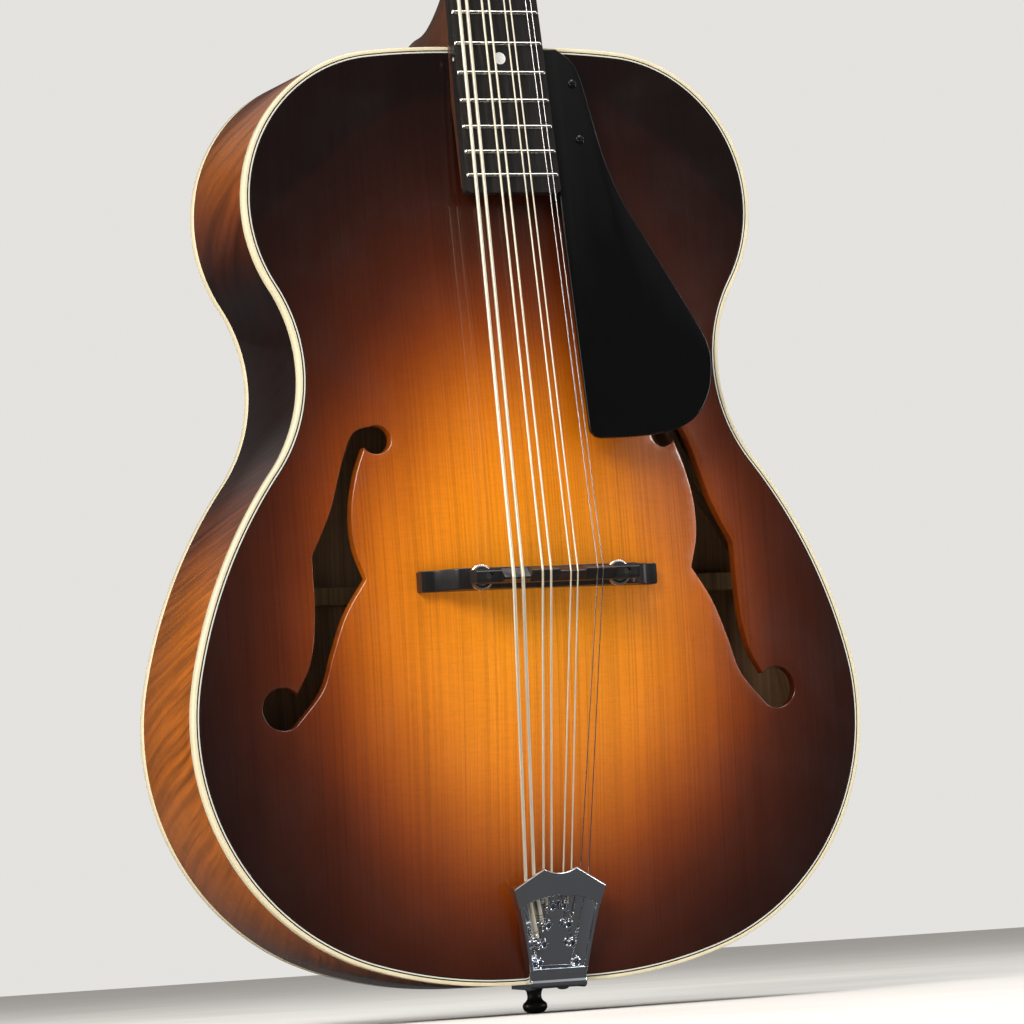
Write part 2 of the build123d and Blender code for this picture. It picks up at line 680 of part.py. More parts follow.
with BuildPart() as nut:
    with BuildSketch(BOARD_SIDE):
        with BuildLine():
            Polyline(
                (0, -NUT_THICKNESS),
                (0, 2.1),
                (1.4, 2.3),
                (NUT_THICKNESS, 0.6),
                (NUT_THICKNESS, -NUT_THICKNESS),
                close=True,
            )
        make_face()
    extrude(amount=NUT_HALF_WIDTH, both=True)
    for channel in string_channels:
        add(channel, mode=Mode.SUBTRACT)
save(nut, "nut")

# ---- headstock fittings ---------------------------------------------------------------------
POCKET_HALF_WIDTH = 5.8
COVER_SCREW_V = 35.0
COVER_SCREW_RADIUS = 1.1

with BuildPart() as veneer:
    with BuildSketch(HEAD.offset(-VENEER_THICKNESS)):
        add(head_outline())
        with Locations((0, -30)):
            Rectangle(120, 60, mode=Mode.SUBTRACT)
        with Locations((0, 11)):
            Rectangle(2 * POCKET_HALF_WIDTH, 24, mode=Mode.SUBTRACT)
        with Locations(*[(s * POST_X, v) for s in (-1, 1) for v in POST_V]):
            Circle(BUSHING_RADIUS, mode=Mode.SUBTRACT)
        with Locations((0, COVER_SCREW_V)):
            Circle(COVER_SCREW_RADIUS, mode=Mode.SUBTRACT)
    extrude(amount=VENEER_THICKNESS)
    with Locations(BOARD * Pos(0, 0, -2 * NUT_THICKNESS)):
        Box(120, NUT_THICKNESS, 60, align=(Align.CENTER, Align.MIN, Align.MIN), mode=Mode.SUBTRACT)
save(veneer, "headstock_veneer")

COVER_THICKNESS = 1.8
with BuildPart() as cover:
    with BuildSketch(HEAD):
        with BuildLine():
            Line((0, 1.0), (12.5, 1.0))
            Spline((12.5, 1.0), (11.2, 14.0), (6.0, 28.0), (4.0, 38.0), tangents=[(0, 1), (0, 1)])
            TangentArc((4.0, 38.0), (-4.0, 38.0), tangent=(0, 1))
            Spline((-4.0, 38.0), (-6.0, 28.0), (-11.2, 14.0), (-12.5, 1.0), tangents=[(0, -1), (0, -1)])
            Line((-12.5, 1.0), (0, 1.0))
        make_face()
        with Locations((0, COVER_SCREW_V)):
            Circle(COVER_SCREW_RADIUS, mode=Mode.SUBTRACT)
    extrude(amount=COVER_THICKNESS)
    chamfer(cover.faces().sort_by(Axis.Y)[0].edges(), 0.5)
save(cover, "truss_rod_cover")

with BuildPart() as cover_screw:
    with BuildSketch(HEAD.offset(COVER_THICKNESS)):
        with Locations((0, COVER_SCREW_V)):
            Circle(2.0)
    extrude(amount=0.9)
    fillet(cover_screw.edges().sort_by(Axis.Y)[:1], 0.5)
    with Locations(HEAD * Pos(0, COVER_SCREW_V, -VENEER_THICKNESS)):
        Cylinder(
            COVER_SCREW_RADIUS,
            COVER_THICKNESS + VENEER_THICKNESS,
            align=(Align.CENTER, Align.CENTER, Align.MIN),
        )
save(cover_screw, "truss_cover_screw")

BUSHING_BORE = POST_RADIUS + RUNNING_CLEARANCE
with BuildPart() as bushings:
    for s in (-1, 1):
        for v in POST_V:
            with Locations(HEAD * Pos(s * POST_X, v, 0)):
                Cylinder(5.6, 0.9, align=(Align.CENTER, Align.CENTER, Align.MIN))
            with Locations(HEAD * Pos(s * POST_X, v, -HEAD_THICKNESS)):
                Cylinder(BUSHING_RADIUS, HEAD_THICKNESS, align=(Align.CENTER, Align.CENTER, Align.MIN))
            with Locations(HEAD * Pos(s * POST_X, v, -HEAD_THICKNESS)):
                Cylinder(
                    BUSHING_BORE,
                    HEAD_THICKNESS + 4,
                    align=(Align.CENTER, Align.CENTER, Align.MIN),
                    mode=Mode.SUBTRACT,
                )
save(bushings, "post_bushings")

# Open-geared machines, four on a plate. The plate lies on the back of the headstock; each worm
# shaft turns in two lugs and drives the gear on the foot of its string post.
GEAR_FACE = 4.0
GEAR_BACK = -22.6  # heights from the headstock's face, so negative is behind it
WORM_DEPTH = -20.6
WORM_RADIUS = 3.0
SHAFT_RADIUS = 2.0
LUG_INNER = 15.4
LUG_OUTER = 28.6
LUG_THICKNESS = 2.0
PLATE_BACK = -HEAD_THICKNESS - TUNER_PLATE_THICKNESS
BUTTON_START = 49.0
TUNER_SCREWS_V = [POST_V[0] - 13.5, POST_V[1] - 9.5, POST_V[2] - 9.5, POST_V[3] - 9.5, POST_V[3] + 18.0]

for side_name, side in (("bass", -1), ("treble", 1)):
    with BuildPart() as tuner_plate:
        with BuildSketch(HEAD.offset(PLATE_BACK)):
            with Locations((side * 22.0, (POST_V[0] + POST_V[3]) / 2 + 2.5)):
                SlotOverall(POST_V[3] - POST_V[0] + 42, 19, rotation=90)
            with Locations(*[(side * POST_X, v) for v in POST_V]):
                Circle(BUSHING_BORE, mode=Mode.SUBTRACT)
            with Locations(*[(side * 24.0, v) for v in TUNER_SCREWS_V]):
                Circle(1.15, mode=Mode.SUBTRACT)
        extrude(amount=TUNER_PLATE_THICKNESS)
        for v in POST_V:
            for lug_x in (LUG_INNER, LUG_OUTER):
                with Locations(HEAD * Pos(side * lug_x, v + WORM_OFFSET, PLATE_BACK)):
                    Box(LUG_THICKNESS, 6.6, 6.2, align=(Align.CENTER, Align.CENTER, Align.MAX))
            with Locations(HEAD * Pos(side * 22, v + WORM_OFFSET, WORM_DEPTH) * Rot(0, 90, 0)):
                Cylinder(SHAFT_RADIUS + RUNNING_CLEARANCE, 30, mode=Mode.SUBTRACT)
    save(tuner_plate, f"tuner_plate_{side_name}")

with BuildPart() as tuner_screws:
    for side in (-1, 1):
        for v in TUNER_SCREWS_V:
            with Locations(HEAD * Pos(side * 24.0, v, PLATE_BACK)):
                Cylinder(2.0, 0.9, align=(Align.CENTER, Align.CENTER, Align.MAX))
                Cylinder(1.15, TUNER_PLATE_THICKNESS, align=(Align.CENTER, Align.CENTER, Align.MIN))
save(tuner_screws, "tuner_plate_screws")

# One tooth as (share of the tooth pitch, radius), from one root to the next.
GEAR_ROOT_RADIUS = 5.2
TOOTH_OUTLINE = [
    (0.0, GEAR_ROOT_RADIUS),
    (0.22, GEAR_ROOT_RADIUS),
    (0.38, GEAR_RADIUS),
    (0.62, GEAR_RADIUS),
    (0.78, GEAR_ROOT_RADIUS),
]

with BuildSketch() as gear_profile:
    with BuildLine():
        gear_points = []
        for tooth in range(GEAR_TEETH):
            for share, tooth_radius in TOOTH_OUTLINE:
                turn = 2 * math.pi * (tooth + share) / GEAR_TEETH
                gear_points.append((tooth_radius * math.cos(turn), tooth_radius * math.sin(turn)))
        Polyline(*gear_points, close=True)
    make_face()

for string_line in string_lines:
    side = string_line["hand"]
    v = POST_V[string_line["rank"]]
    number = string_line["rank"] + (5 if side > 0 else 1)
    with BuildPart() as post:
        with Locations(HEAD * Pos(side * POST_X, v, GEAR_BACK)):
            Cylinder(POST_RADIUS, 14.0 - GEAR_BACK, align=(Align.CENTER, Align.CENTER, Align.MIN))
            Cylinder(3.8, PLATE_BACK - GEAR_BACK - 0.1, align=(Align.CENTER, Align.CENTER, Align.MIN))
        chamfer(post.edges().sort_by(Axis.Y)[:1], 0.5)
        with BuildSketch(HEAD.offset(GEAR_BACK)):
            with Locations((side * POST_X, v)):
                add(gear_profile.sketch)
        extrude(amount=GEAR_FACE)
        with Locations(HEAD * Pos(side * POST_X, v, 8.5) * Rot(90, 0, 0)):
            Cylinder(0.9, 20, mode=Mode.SUBTRACT)
        with Locations(HEAD * Pos(side * POST_X, v, GEAR_BACK)):
            Cylinder(2.4, 1.4, align=(Align.CENTER, Align.CENTER, Align.MAX))
    save(post, f"tuner_post_{number}")

    worm_at = (v + WORM_OFFSET, WORM_DEPTH)
    with BuildPart() as key:
        with BuildSketch(HEAD.offset(WORM_DEPTH - 3.4)):
            with Locations((side * (BUTTON_START + 7.5), v + WORM_OFFSET)):
                Ellipse(8.0, 9.5)
        extrude(amount=6.8)
        chamfer(key.edges().filter_by(GeomType.ELLIPSE), 1.5)
        with Locations(HEAD * Pos(side * 13.8, *worm_at) * Rot(0, side * 90, 0)):
            Cylinder(SHAFT_RADIUS, BUTTON_START + 4 - 13.8, align=(Align.CENTER, Align.CENTER, Align.MIN))
        worm_start = LUG_INNER + LUG_THICKNESS / 2 + 0.15
        worm_end = LUG_OUTER - LUG_THICKNESS / 2 - 0.15
        with Locations(HEAD * Pos(side * worm_start, *worm_at) * Rot(0, side * 90, 0)):
            Cylinder(WORM_RADIUS, worm_end - worm_start, align=(Align.CENTER, Align.CENTER, Align.MIN))
        with Locations(HEAD * Pos(side * (BUTTON_START - 3.5), *worm_at) * Rot(0, side * 90, 0)):
            Cylinder(3.0, 5.0, align=(Align.CENTER, Align.CENTER, Align.MIN))
    save(key, f"tuner_key_{number}")

# ---- bridge ---------------------------------------------------------------------------------
BRIDGE_WIDTH = 10.8
WHEEL_RADIUS = 6.6
WHEEL_THICKNESS = 3.0
WHEEL_HEIGHT = 29.0  # underside of the wheels above the front edge
BASE_TOP = 27.2
SADDLE_BOTTOM = WHEEL_HEIGHT + WHEEL_THICKNESS + 0.2
SADDLE_HALF_LENGTH = 45.0
STUD_RADIUS = 2.0
STUD_TOP = 40.5
STUD_FOOT = 18.5


# Local X runs across the body; local Y is the row's Y, so heights are negative.
BRIDGE_PLANE = Plane(origin=(0, FRONT_Y, BRIDGE_Z), x_dir=(1, 0, 0), z_dir=(0, 0, 1))

with BuildPart() as bridge_base:
    with BuildSketch(BRIDGE_PLANE):
        with BuildLine():
            Line((0, 5), (BRIDGE_HALF_LENGTH, 5))
            Line((BRIDGE_HALF_LENGTH, 5), (BRIDGE_HALF_LENGTH, -17.6))
            Line((BRIDGE_HALF_LENGTH, -17.6), (60, -18.2))
            Spline((60, -18.2), (54, -21.5), (47.5, -BASE_TOP), tangents=[(-1, -0.1), (-1, -0.15)])
            Line((47.5, -BASE_TOP), (29, -BASE_TOP))
            Spline((29, -BASE_TOP), (20, -24.8), (0, -24.2), tangents=[(-1, 0.15), (-1, 0)])
            mirror(about=Plane.YZ)
        make_face()
    extrude(amount=BRIDGE_WIDTH / 2, both=True)
    extrude(top_surface, amount=40, dir=(0, 1, 0), mode=Mode.SUBTRACT)
    for side in (-1, 1):
        with Locations(Plane(origin=(side * THUMBWHEEL_X, front(STUD_FOOT), BRIDGE_Z), z_dir=(0, -1, 0))):
            Cylinder(STUD_RADIUS, 40, align=(Align.CENTER, Align.CENTER, Align.MIN), mode=Mode.SUBTRACT)
save(bridge_base, "bridge_base")

with BuildPart() as bridge_studs:
    for side in (-1, 1):
        with Locations(Plane(origin=(side * THUMBWHEEL_X, front(STUD_FOOT), BRIDGE_Z), z_dir=(0, -1, 0))):
            Cylinder(STUD_RADIUS, STUD_TOP - STUD_FOOT, align=(Align.CENTER, Align.CENTER, Align.MIN))
save(bridge_studs, "bridge_studs")

for side_name, side in (("bass", -1), ("treble", 1)):
    with BuildPart() as wheel:
        with Locations(Plane(origin=(side * THUMBWHEEL_X, front(WHEEL_HEIGHT), BRIDGE_Z), z_dir=(0, -1, 0))):
            Cylinder(WHEEL_RADIUS, WHEEL_THICKNESS, align=(Align.CENTER, Align.CENTER, Align.MIN))
            Cylinder(
                STUD_RADIUS + RUNNING_CLEARANCE,
                3 * WHEEL_THICKNESS,
                mode=Mode.SUBTRACT,
            )
        chamfer(wheel.edges().filter_by(GeomType.CIRCLE).filter_by(lambda e: e.radius > 5), 0.4)
    save(wheel, f"thumbwheel_{side_name}")

with BuildPart() as bridge_saddle:
    with BuildSketch(BRIDGE_PLANE):
        with BuildLine():
            crest = STRING_HEIGHT_AT_BRIDGE + 0.45
            Line((0, -SADDLE_BOTTOM), (SADDLE_HALF_LENGTH - 2, -SADDLE_BOTTOM))
            RadiusArc((SADDLE_HALF_LENGTH - 2, -SADDLE_BOTTOM), (SADDLE_HALF_LENGTH, -SADDLE_BOTTOM - 2), 2)
            Line((SADDLE_HALF_LENGTH, -SADDLE_BOTTOM - 2), (SADDLE_HALF_LENGTH, -39.0))
            Spline(
                (SADDLE_HALF_LENGTH, -39.0),
                (42.5, -41.8),
                (36.0, -42.6),
                (30.0, -crest),
                tangents=[(0, -1), (-1, 0)],
            )
            Line((30.0, -crest), (0, -crest))
            mirror(about=Plane.YZ)
        make_face()
    extrude(amount=3.6, both=True)
    # the two long faces lean in towards the crest
    for face_side in (-1, 1):
        with BuildSketch(Plane.YZ):
            with BuildLine():
                Polyline(
                    (front(36.0), BRIDGE_Z + face_side * 3.7),
                    (front(48.0), BRIDGE_Z + face_side * 1.9),
                    (front(48.0), BRIDGE_Z + face_side * 6.0),
                    (front(36.0), BRIDGE_Z + face_side * 6.0),
                    close=True,
                )
            make_face()
        extrude(amount=60, both=True, mode=Mode.SUBTRACT)
    for side in (-1, 1):
        with Locations(Plane(origin=(side * THUMBWHEEL_X, front(30.0), BRIDGE_Z), z_dir=(0, -1, 0))):
            Cylinder(
                STUD_RADIUS + RUNNING_CLEARANCE,
                40,
                align=(Align.CENTER, Align.CENTER, Align.MIN),
                mode=Mode.SUBTRACT,
            )
    for channel in string_channels:
        add(channel, mode=Mode.SUBTRACT)
save(bridge_saddle, "bridge_saddle")

# ---- tailpiece and end pin ------------------------------------------------------------------
TAIL_THICKNESS = 7.4
RIM_WALL = 2.0


def tail_outline():
    """Flared shield with a two-peaked crown."""
    with BuildSketch() as shield:
        with BuildLine():
            Line((0, 0.5), (15.6, 0.5))
            Spline((15.6, 0.5), (18.2, 18.0), (22.4, 39.0), tangents=[(0.02, 1), (0.26, 1)])
            Line((22.4, 39.0), (25.6, 49.0))
            Line((25.6, 49.0), (9.0, 59.0))
            ThreePointArc((9.0, 59.0), (4.8, 57.0), (0, 56.2))
            mirror(about=Plane.YZ)
        make_face()
    return shield.sketch


with BuildPart() as tailpiece:
    with BuildSketch(TAIL.offset(-TAIL_THICKNESS)):
        add(tail_outline())
    extrude(amount=TAIL_THICKNESS)
    # the open tray: everything inside the rim, up to the crown's arched lower edge
    with BuildSketch(TAIL.offset(TAIL_FLOOR)):
        with BuildLine():
            Line((0, 6.5), (13.9, 6.5))
            Spline((13.9, 6.5), (16.2, 18.0), (20.2, 37.0), tangents=[(0.05, 1), (0.26, 1)])
            ThreePointArc((20.2, 37.0), (0, 44.5), (-20.2, 37.0))
            Spline((-20.2, 37.0), (-16.2, 18.0), (-13.9, 6.5), tangents=[(0.26, -1), (0.05, -1)])
            Line((-13.9, 6.5), (0, 6.5))
        make_face()
    extrude(amount=20, mode=Mode.SUBTRACT)
    # the strings' way out under the crown
    with BuildSketch(TAIL.offset(-2.4)):
        with BuildLine():
            Polyline((-18.5, 36), (-20.6, 51), (-20.6, 70), (20.6, 70), (20.6, 51), (18.5, 36), close=True)
        make_face()
    extrude(amount=-3.6, mode=Mode.SUBTRACT)
    # hollow string pegs
    for hand in (-1, 1):
        for peg_x, peg_v in PEG_ROWS:
            with Locations(TAIL * Pos(hand * peg_x, peg_v, TAIL_FLOOR)):
                Cylinder(PEG_RADIUS, 4.2, align=(Align.CENTER, Align.CENTER, Align.MIN))
            with Locations(TAIL * Pos(hand * peg_x, peg_v, TAIL_FLOOR + 0.6)):
                Cylinder(0.95, 8, align=(Align.CENTER, Align.CENTER, Align.MIN), mode=Mode.SUBTRACT)
    # lip that turns over the edge of the body and runs down the tail
    with BuildSketch(Plane.YZ):
        with BuildLine():
            Polyline(
                (front(0.25), 2.2),
                (front(0.25), -0.05),
                (-7.2, -0.05),
                (-7.2, -1.9),
                (front(4.6), -2.6),
            )
            Spline((front(4.6), -2.6), (front(7.0), -1.2), (front(7.7), 1.2), tangents=[(-1, 0), (0, 1)])
            Line((front(7.7), 1.2), (front(0.25), 2.2))
        make_face()
    extrude(amount=15.4, both=True)
    for spot in TAIL_SCREW_SPOTS:
        with Locations(spot):
            Cylinder(TAIL_SCREW_RADIUS, 10, mode=Mode.SUBTRACT)
save(tailpiece, "tailpiece")

with BuildPart() as tail_screws:
    for x, y, z in TAIL_SCREW_SPOTS:
        with Locations((x, y, -1.9)):
            Cylinder(TAIL_SCREW_RADIUS, TAIL_SCREW_LENGTH, align=(Align.CENTER, Align.CENTER, Align.MIN))
        with Locations((x, y, -2.35)):
            Cylinder(3.0, 1.4, align=(Align.CENTER, Align.CENTER, Align.MAX))
save(tail_screws, "tailpiece_screws")

with BuildPart() as end_pin:
    with BuildSketch(Plane.XZ):
        with BuildLine():
            Polyline(
                (0, PIN_SHANK_LENGTH),
                (1.4, PIN_SHANK_LENGTH - 1),
                (PIN_SHANK_RADIUS, 14),
                (PIN_SHANK_RADIUS, 0),
                (6.0, 0),
            )
            Spline((6.0, 0), (6.2, -1.0), (5.4, -2.0), (4.3, -3.6), (3.6, -6.2), (4.2, -8.4), (6.4, -11.0))
            Spline((6.4, -11.0), (6.2, -13.0), (3.6, -14.6), (0, -15.2), tangents=[(0.05, -1), (-1, 0)])
            Line((0, -15.2), (0, PIN_SHANK_LENGTH))
        make_face()
    revolve(axis=Axis.Z)
save(end_pin, "end_pin")

# ---- pickguard --------------------------------------------------------------------------------
GUARD_DROP = 4.0  # guard's face below the fingerboard's face
GUARD_THICKNESS = 3.0
GUARD_SCREWS = [(41.0, -369.0), (41.8, -399.0)]

with BuildPart() as pickguard:
    with BuildSketch(BOARD.offset(-GUARD_DROP - GUARD_THICKNESS)):
        with BuildLine():
            Line((25.4, -350.0), (34.0, -350.0))
            Spline(
                (34.0, -350.0),
                (46.6, -368.0),
                (54.6, -409.0),
                (73.5, -453.0),
                (97.0, -498.0),
                (102.2, -520.0),
                tangents=[(1, 0), (0, -1)],
            )
            Spline(
                (102.2, -520.0),
                (91.0, -546.0),
                (66.0, -555.6),
                (34.6, -557.0),
                tangents=[(0, -1), (-1, 0)],
            )
            ThreePointArc((34.6, -557.0), (31.0, -555.6), (29.2, -552.0))
            Polyline((29.2, -552.0), (26.9, -429.5), (25.4, -350.0))
        make_face()
        with Locations(*GUARD_SCREWS):
            Circle(1.2, mode=Mode.SUBTRACT)
    extrude(amount=GUARD_THICKNESS)
save(pickguard, "pickguard")

with BuildPart() as guard_screws:
    for x, v in GUARD_SCREWS:
        with Locations(BOARD * Pos(x, v, -GUARD_DROP)):
            Cylinder(2.3, 1.0, align=(Align.CENTER, Align.CENTER, Align.MIN))
        with Locations(BOARD * Pos(x, v, -GUARD_DROP)):
            Cylinder(1.2, 6.0, align=(Align.CENTER, Align.CENTER, Align.MAX))
save(guard_screws, "pickguard_screws")

with BuildPart() as guard_supports:
    with BuildSketch(BOARD.offset(-GUARD_DROP - GUARD_THICKNESS)):
        with BuildLine():
            Polyline(
                (27.0, -361),
                (45.5, -361),
                (46.5, -408),
                (35.0, -412),
                (34.0, -428.5),
                (27.0, -428.5),
                close=True,
            )
        make_face()
        with Locations(*GUARD_SCREWS):
            Circle(1.2, mode=Mode.SUBTRACT)
        with Locations((78.0, -517.0)):
            Circle(5.0)
    extrude(amount=-40)
    extrude(top_surface, amount=60, dir=(0, 1, 0), mode=Mode.SUBTRACT)
    with Locations((0, FRONT_Y, BODY_LENGTH / 2)):
        Box(400, 60, BODY_LENGTH, align=(Align.CENTER, Align.MIN, Align.CENTER), mode=Mode.SUBTRACT)
save(guard_supports, "pickguard_supports")
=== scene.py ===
import bisect
import math

import bmesh
import bpy
import numpy as np
from bpy.props import FloatProperty, FloatVectorProperty, IntProperty, PointerProperty
from mathutils import Matrix, Vector
from mathutils.geometry import delaunay_2d_cdt
from mathutils.kdtree import KDTree


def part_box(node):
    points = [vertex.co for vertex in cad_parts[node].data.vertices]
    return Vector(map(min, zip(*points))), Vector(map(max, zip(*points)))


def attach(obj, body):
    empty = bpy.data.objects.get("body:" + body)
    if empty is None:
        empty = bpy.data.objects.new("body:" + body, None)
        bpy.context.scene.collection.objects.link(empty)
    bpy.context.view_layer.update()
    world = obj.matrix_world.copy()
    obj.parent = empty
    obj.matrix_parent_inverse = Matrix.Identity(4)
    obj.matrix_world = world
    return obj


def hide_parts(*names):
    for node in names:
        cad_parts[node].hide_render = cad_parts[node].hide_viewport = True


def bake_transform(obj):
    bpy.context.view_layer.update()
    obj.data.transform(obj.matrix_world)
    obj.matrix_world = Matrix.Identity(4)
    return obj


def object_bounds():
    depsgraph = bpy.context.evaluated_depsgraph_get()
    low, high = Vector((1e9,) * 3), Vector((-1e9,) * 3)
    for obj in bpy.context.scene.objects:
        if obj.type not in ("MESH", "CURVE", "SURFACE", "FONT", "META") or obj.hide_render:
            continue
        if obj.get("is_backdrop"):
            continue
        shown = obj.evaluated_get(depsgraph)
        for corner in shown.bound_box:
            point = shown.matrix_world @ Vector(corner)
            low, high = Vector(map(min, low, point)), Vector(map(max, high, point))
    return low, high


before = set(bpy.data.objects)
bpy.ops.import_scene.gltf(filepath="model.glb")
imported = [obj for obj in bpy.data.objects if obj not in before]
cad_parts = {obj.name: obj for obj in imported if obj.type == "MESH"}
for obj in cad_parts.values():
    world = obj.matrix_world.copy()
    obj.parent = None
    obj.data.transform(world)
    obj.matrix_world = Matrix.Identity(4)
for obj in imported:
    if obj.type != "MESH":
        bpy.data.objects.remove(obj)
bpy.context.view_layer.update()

bl_info = {
    "name": "Mandocello",
    "version": (1, 0, 0),
    "blender": (4, 5, 0),
    "location": "View3D > Sidebar > Mandocello",
    "description": "Builds an archtop mandocello round its packed frame",
    "category": "Add Mesh",
}

# ---- design values, in metres and radians -------------------------------------------------
MM = 0.001
SCALE_LENGTH = 628.65 * MM
BODY_JOINT_FRET = 14
FRET_COUNT = 19
NECK_TILT = math.radians(6.2)
HEAD_LEAN = math.radians(20.2)
BOARD_HEIGHT_AT_BODY = 9.6 * MM
BOARD_THICKNESS = 6.0 * MM
BOARD_END = 428.0 * MM
NUT_HALF_WIDTH = 18.5 * MM
BOARD_TAPER = 0.0181
NUT_THICKNESS = 5.0 * MM
HEAD_DROP = 3.0 * MM

FRONT_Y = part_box("top_binding")[0].y
BODY_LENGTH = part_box("top_binding")[1].z
BACK_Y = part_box("back_binding")[1].y
PLATE_THICKNESS = 6.0 * MM
TOP_RISE = 17.0 * MM
BACK_RISE = 15.0 * MM
RIB_THICKNESS = 2.6 * MM
BINDING_WIDTH = 2.0 * MM
PURFLING_BLACK = 0.5 * MM
PURFLING_WHITE = 0.7 * MM
PURFLING_DEPTH = 1.5 * MM
TOP_INSET = BINDING_WIDTH + 2 * PURFLING_BLACK + PURFLING_WHITE
TENON_HALF_WIDTH = 12.0 * MM
TENON_REACH = 18.0 * MM

# Half outline of the body: a short flat at the tail, then arcs as (radius, turn in degrees).
TAIL_FLAT = 20.0 * MM
BOUT_ARCS = [(248.2, 17.86), (129.3, 84.67), (262.5, 25.14), (81.4, -69.46), (80.1, 116.01), (441.4, 5.78)]
ARCH_CENTRE_Z = 215.0 * MM
ARCH_OVAL_HALF_WIDTH = 150.0 * MM
RECURVE_START = 0.95
WAIST_HEIGHT = 322.0 * MM
RIB_CURL_CENTRE = 200.0 * MM

# Treble f-hole in millimetres, (x, z): two round eyes and a stem that widens to a nick each side.
UPPER_EYE = (80.0, 280.0, 7.4)
LOWER_EYE = (137.4, 145.6, 10.8)
INNER_EDGE_UPPER = [(86.4, 276.2), (91.8, 262.0), (95.6, 244.0), (95.4, 226.0), (90.6, 209.4)]
INNER_EDGE_LOWER = [(90.6, 209.4), (102.0, 192.0), (110.0, 172.0), (116.5, 154.0), (131.0, 136.9)]
OUTER_EDGE_LOWER = [(129.6, 153.2), (122.0, 168.0), (118.2, 190.0), (117.4, 222.0)]
OUTER_EDGE_UPPER = [(117.4, 222.0), (106.4, 244.0), (97.8, 270.0), (91.0, 284.0), (80.0, 287.4)]

BRIDGE_Z = 206.0 * MM
STRING_HEIGHT_AT_BRIDGE = 44.2 * MM
THUMBWHEEL_X = 38.0 * MM

# One entry per course: string radius, gap in the pair and course centre at the tailpiece, the
# saddle and the nut, and the saddle's compensation, in millimetres.
COURSES = {
    "c": (0.94, (4.5, 5.0, 3.5), (-15.5, -23.8, -13.6), -1.6),
    "g": (0.61, (4.5, 4.6, 3.2), (-5.7, -7.8, -4.5), 1.4),
    "d": (0.43, (4.5, 3.8, 2.9), (5.2, 7.4, 4.6), 0.4),
    "a": (0.28, (4.5, 3.0, 2.6), (14.8, 22.0, 13.7), 1.4),
}
TAIL_RISE = math.radians(11.3)
TAIL_HEIGHT = 7.6 * MM
PEG_RADIUS = 1.75 * MM
PEG_ROWS = [(9.9, 9.9), (7.7, 19.4), (5.5, 29.0), (3.2, 38.6)]
PEG_LOOP_DEPTH = -3.9 * MM
CROWN_SLOT_V = 53.5 * MM
CROWN_SLOT_DEPTH = -3.6 * MM
CORE_WIRE_RADIUS = 0.24 * MM
TWIST_REACH = 9.0 * MM

POST_X = 21.0 * MM
POST_V = [45.0 * MM, 71.0 * MM, 97.0 * MM, 123.0 * MM]
POST_RADIUS = 3.0 * MM
WINDING_START = 6.0 * MM
WINDING_HEIGHT = 2.6 * MM
WINDING_GAP = 0.06 * MM
WORM_OFFSET = 9.65 * MM
WORM_DEPTH = -20.6 * MM
GEAR_TEETH = 15
GEAR_PITCH_RADIUS = 5.85 * MM

GUARD_DROP = 4.0 * MM
GUARD_THICKNESS = 3.0 * MM
GUARD_SCREWS = [(41.0, -369.0), (41.8, -399.0)]


def place(origin, up, out):
    """A frame whose local Y is up and whose local Z is out."""
    up = Vector(up).normalized()
    out = Vector(out).normalized()
    across = up.cross(out)
    return Matrix.Translation(origin) @ Matrix((across, up, out)).transposed().to_4x4()


def along(origin, axis):
    """A frame whose local Z is the axis."""
    return Matrix.Translation(origin) @ Vector(axis).to_track_quat("Z", "Y").to_matrix().to_4x4()


def leaned(angle):
    """Directions up a face that leans back by an angle, and out of it."""
    return (0, math.sin(angle), math.cos(angle)), (0, -math.cos(angle), math.sin(angle))


joint_distance = SCALE_LENGTH * (1 - 2 ** (-BODY_JOINT_FRET / 12))
NUT_POINT = Vector(
    (
        0,
        FRONT_Y - BOARD_HEIGHT_AT_BODY + joint_distance * math.sin(NECK_TILT),
        BODY_LENGTH + joint_distance * math.cos(NECK_TILT),
    )
)
BOARD = place(NUT_POINT, *leaned(NECK_TILT))
HEAD = place(BOARD @ Vector((0, NUT_THICKNESS, -HEAD_DROP)), *leaned(HEAD_LEAN))
TAIL = place(
    (0, FRONT_Y - TAIL_HEIGHT, 0),
    (0, -math.sin(TAIL_RISE), math.cos(TAIL_RISE)),
    (0, -math.cos(TAIL_RISE), -math.sin(TAIL_RISE)),
)
BRIDGE = place((0, FRONT_Y, BRIDGE_Z), (0, 0, 1), (0, -1, 0))
HEAD_OUT = HEAD.to_3x3() @ Vector((0, 0, 1))
BOARD_OUT = BOARD.to_3x3() @ Vector((0, 0, 1))


# ---- outline and arching ------------------------------------------------------------------
def outline_half(step):
    """Samples up the treble half of the outline: (x, z, outward x, outward z)."""
    samples = [(TAIL_FLAT * k / 6, 0.0, 0.0, -1.0) for k in range(7)]
    here = Vector((TAIL_FLAT, 0.0))
    heading = 0.0
    for radius, degrees in BOUT_ARCS:
        radius *= MM
        turn = math.radians(degrees)
        side = 1 if turn > 0 else -1
        centre = here + Vector((-math.sin(heading), math.cos(heading))) * radius * side
        count = max(4, round(abs(turn) * radius / step))
        for k in range(1, count + 1):
            angle = heading + turn * k / count
            spoke = Vector((math.sin(angle), -math.cos(angle)))
            point = centre + spoke * radius * side
            samples.append((point.x, point.y, spoke.x, spoke.y))
        here = Vector(samples[-1][:2])
        heading += turn
    return samples


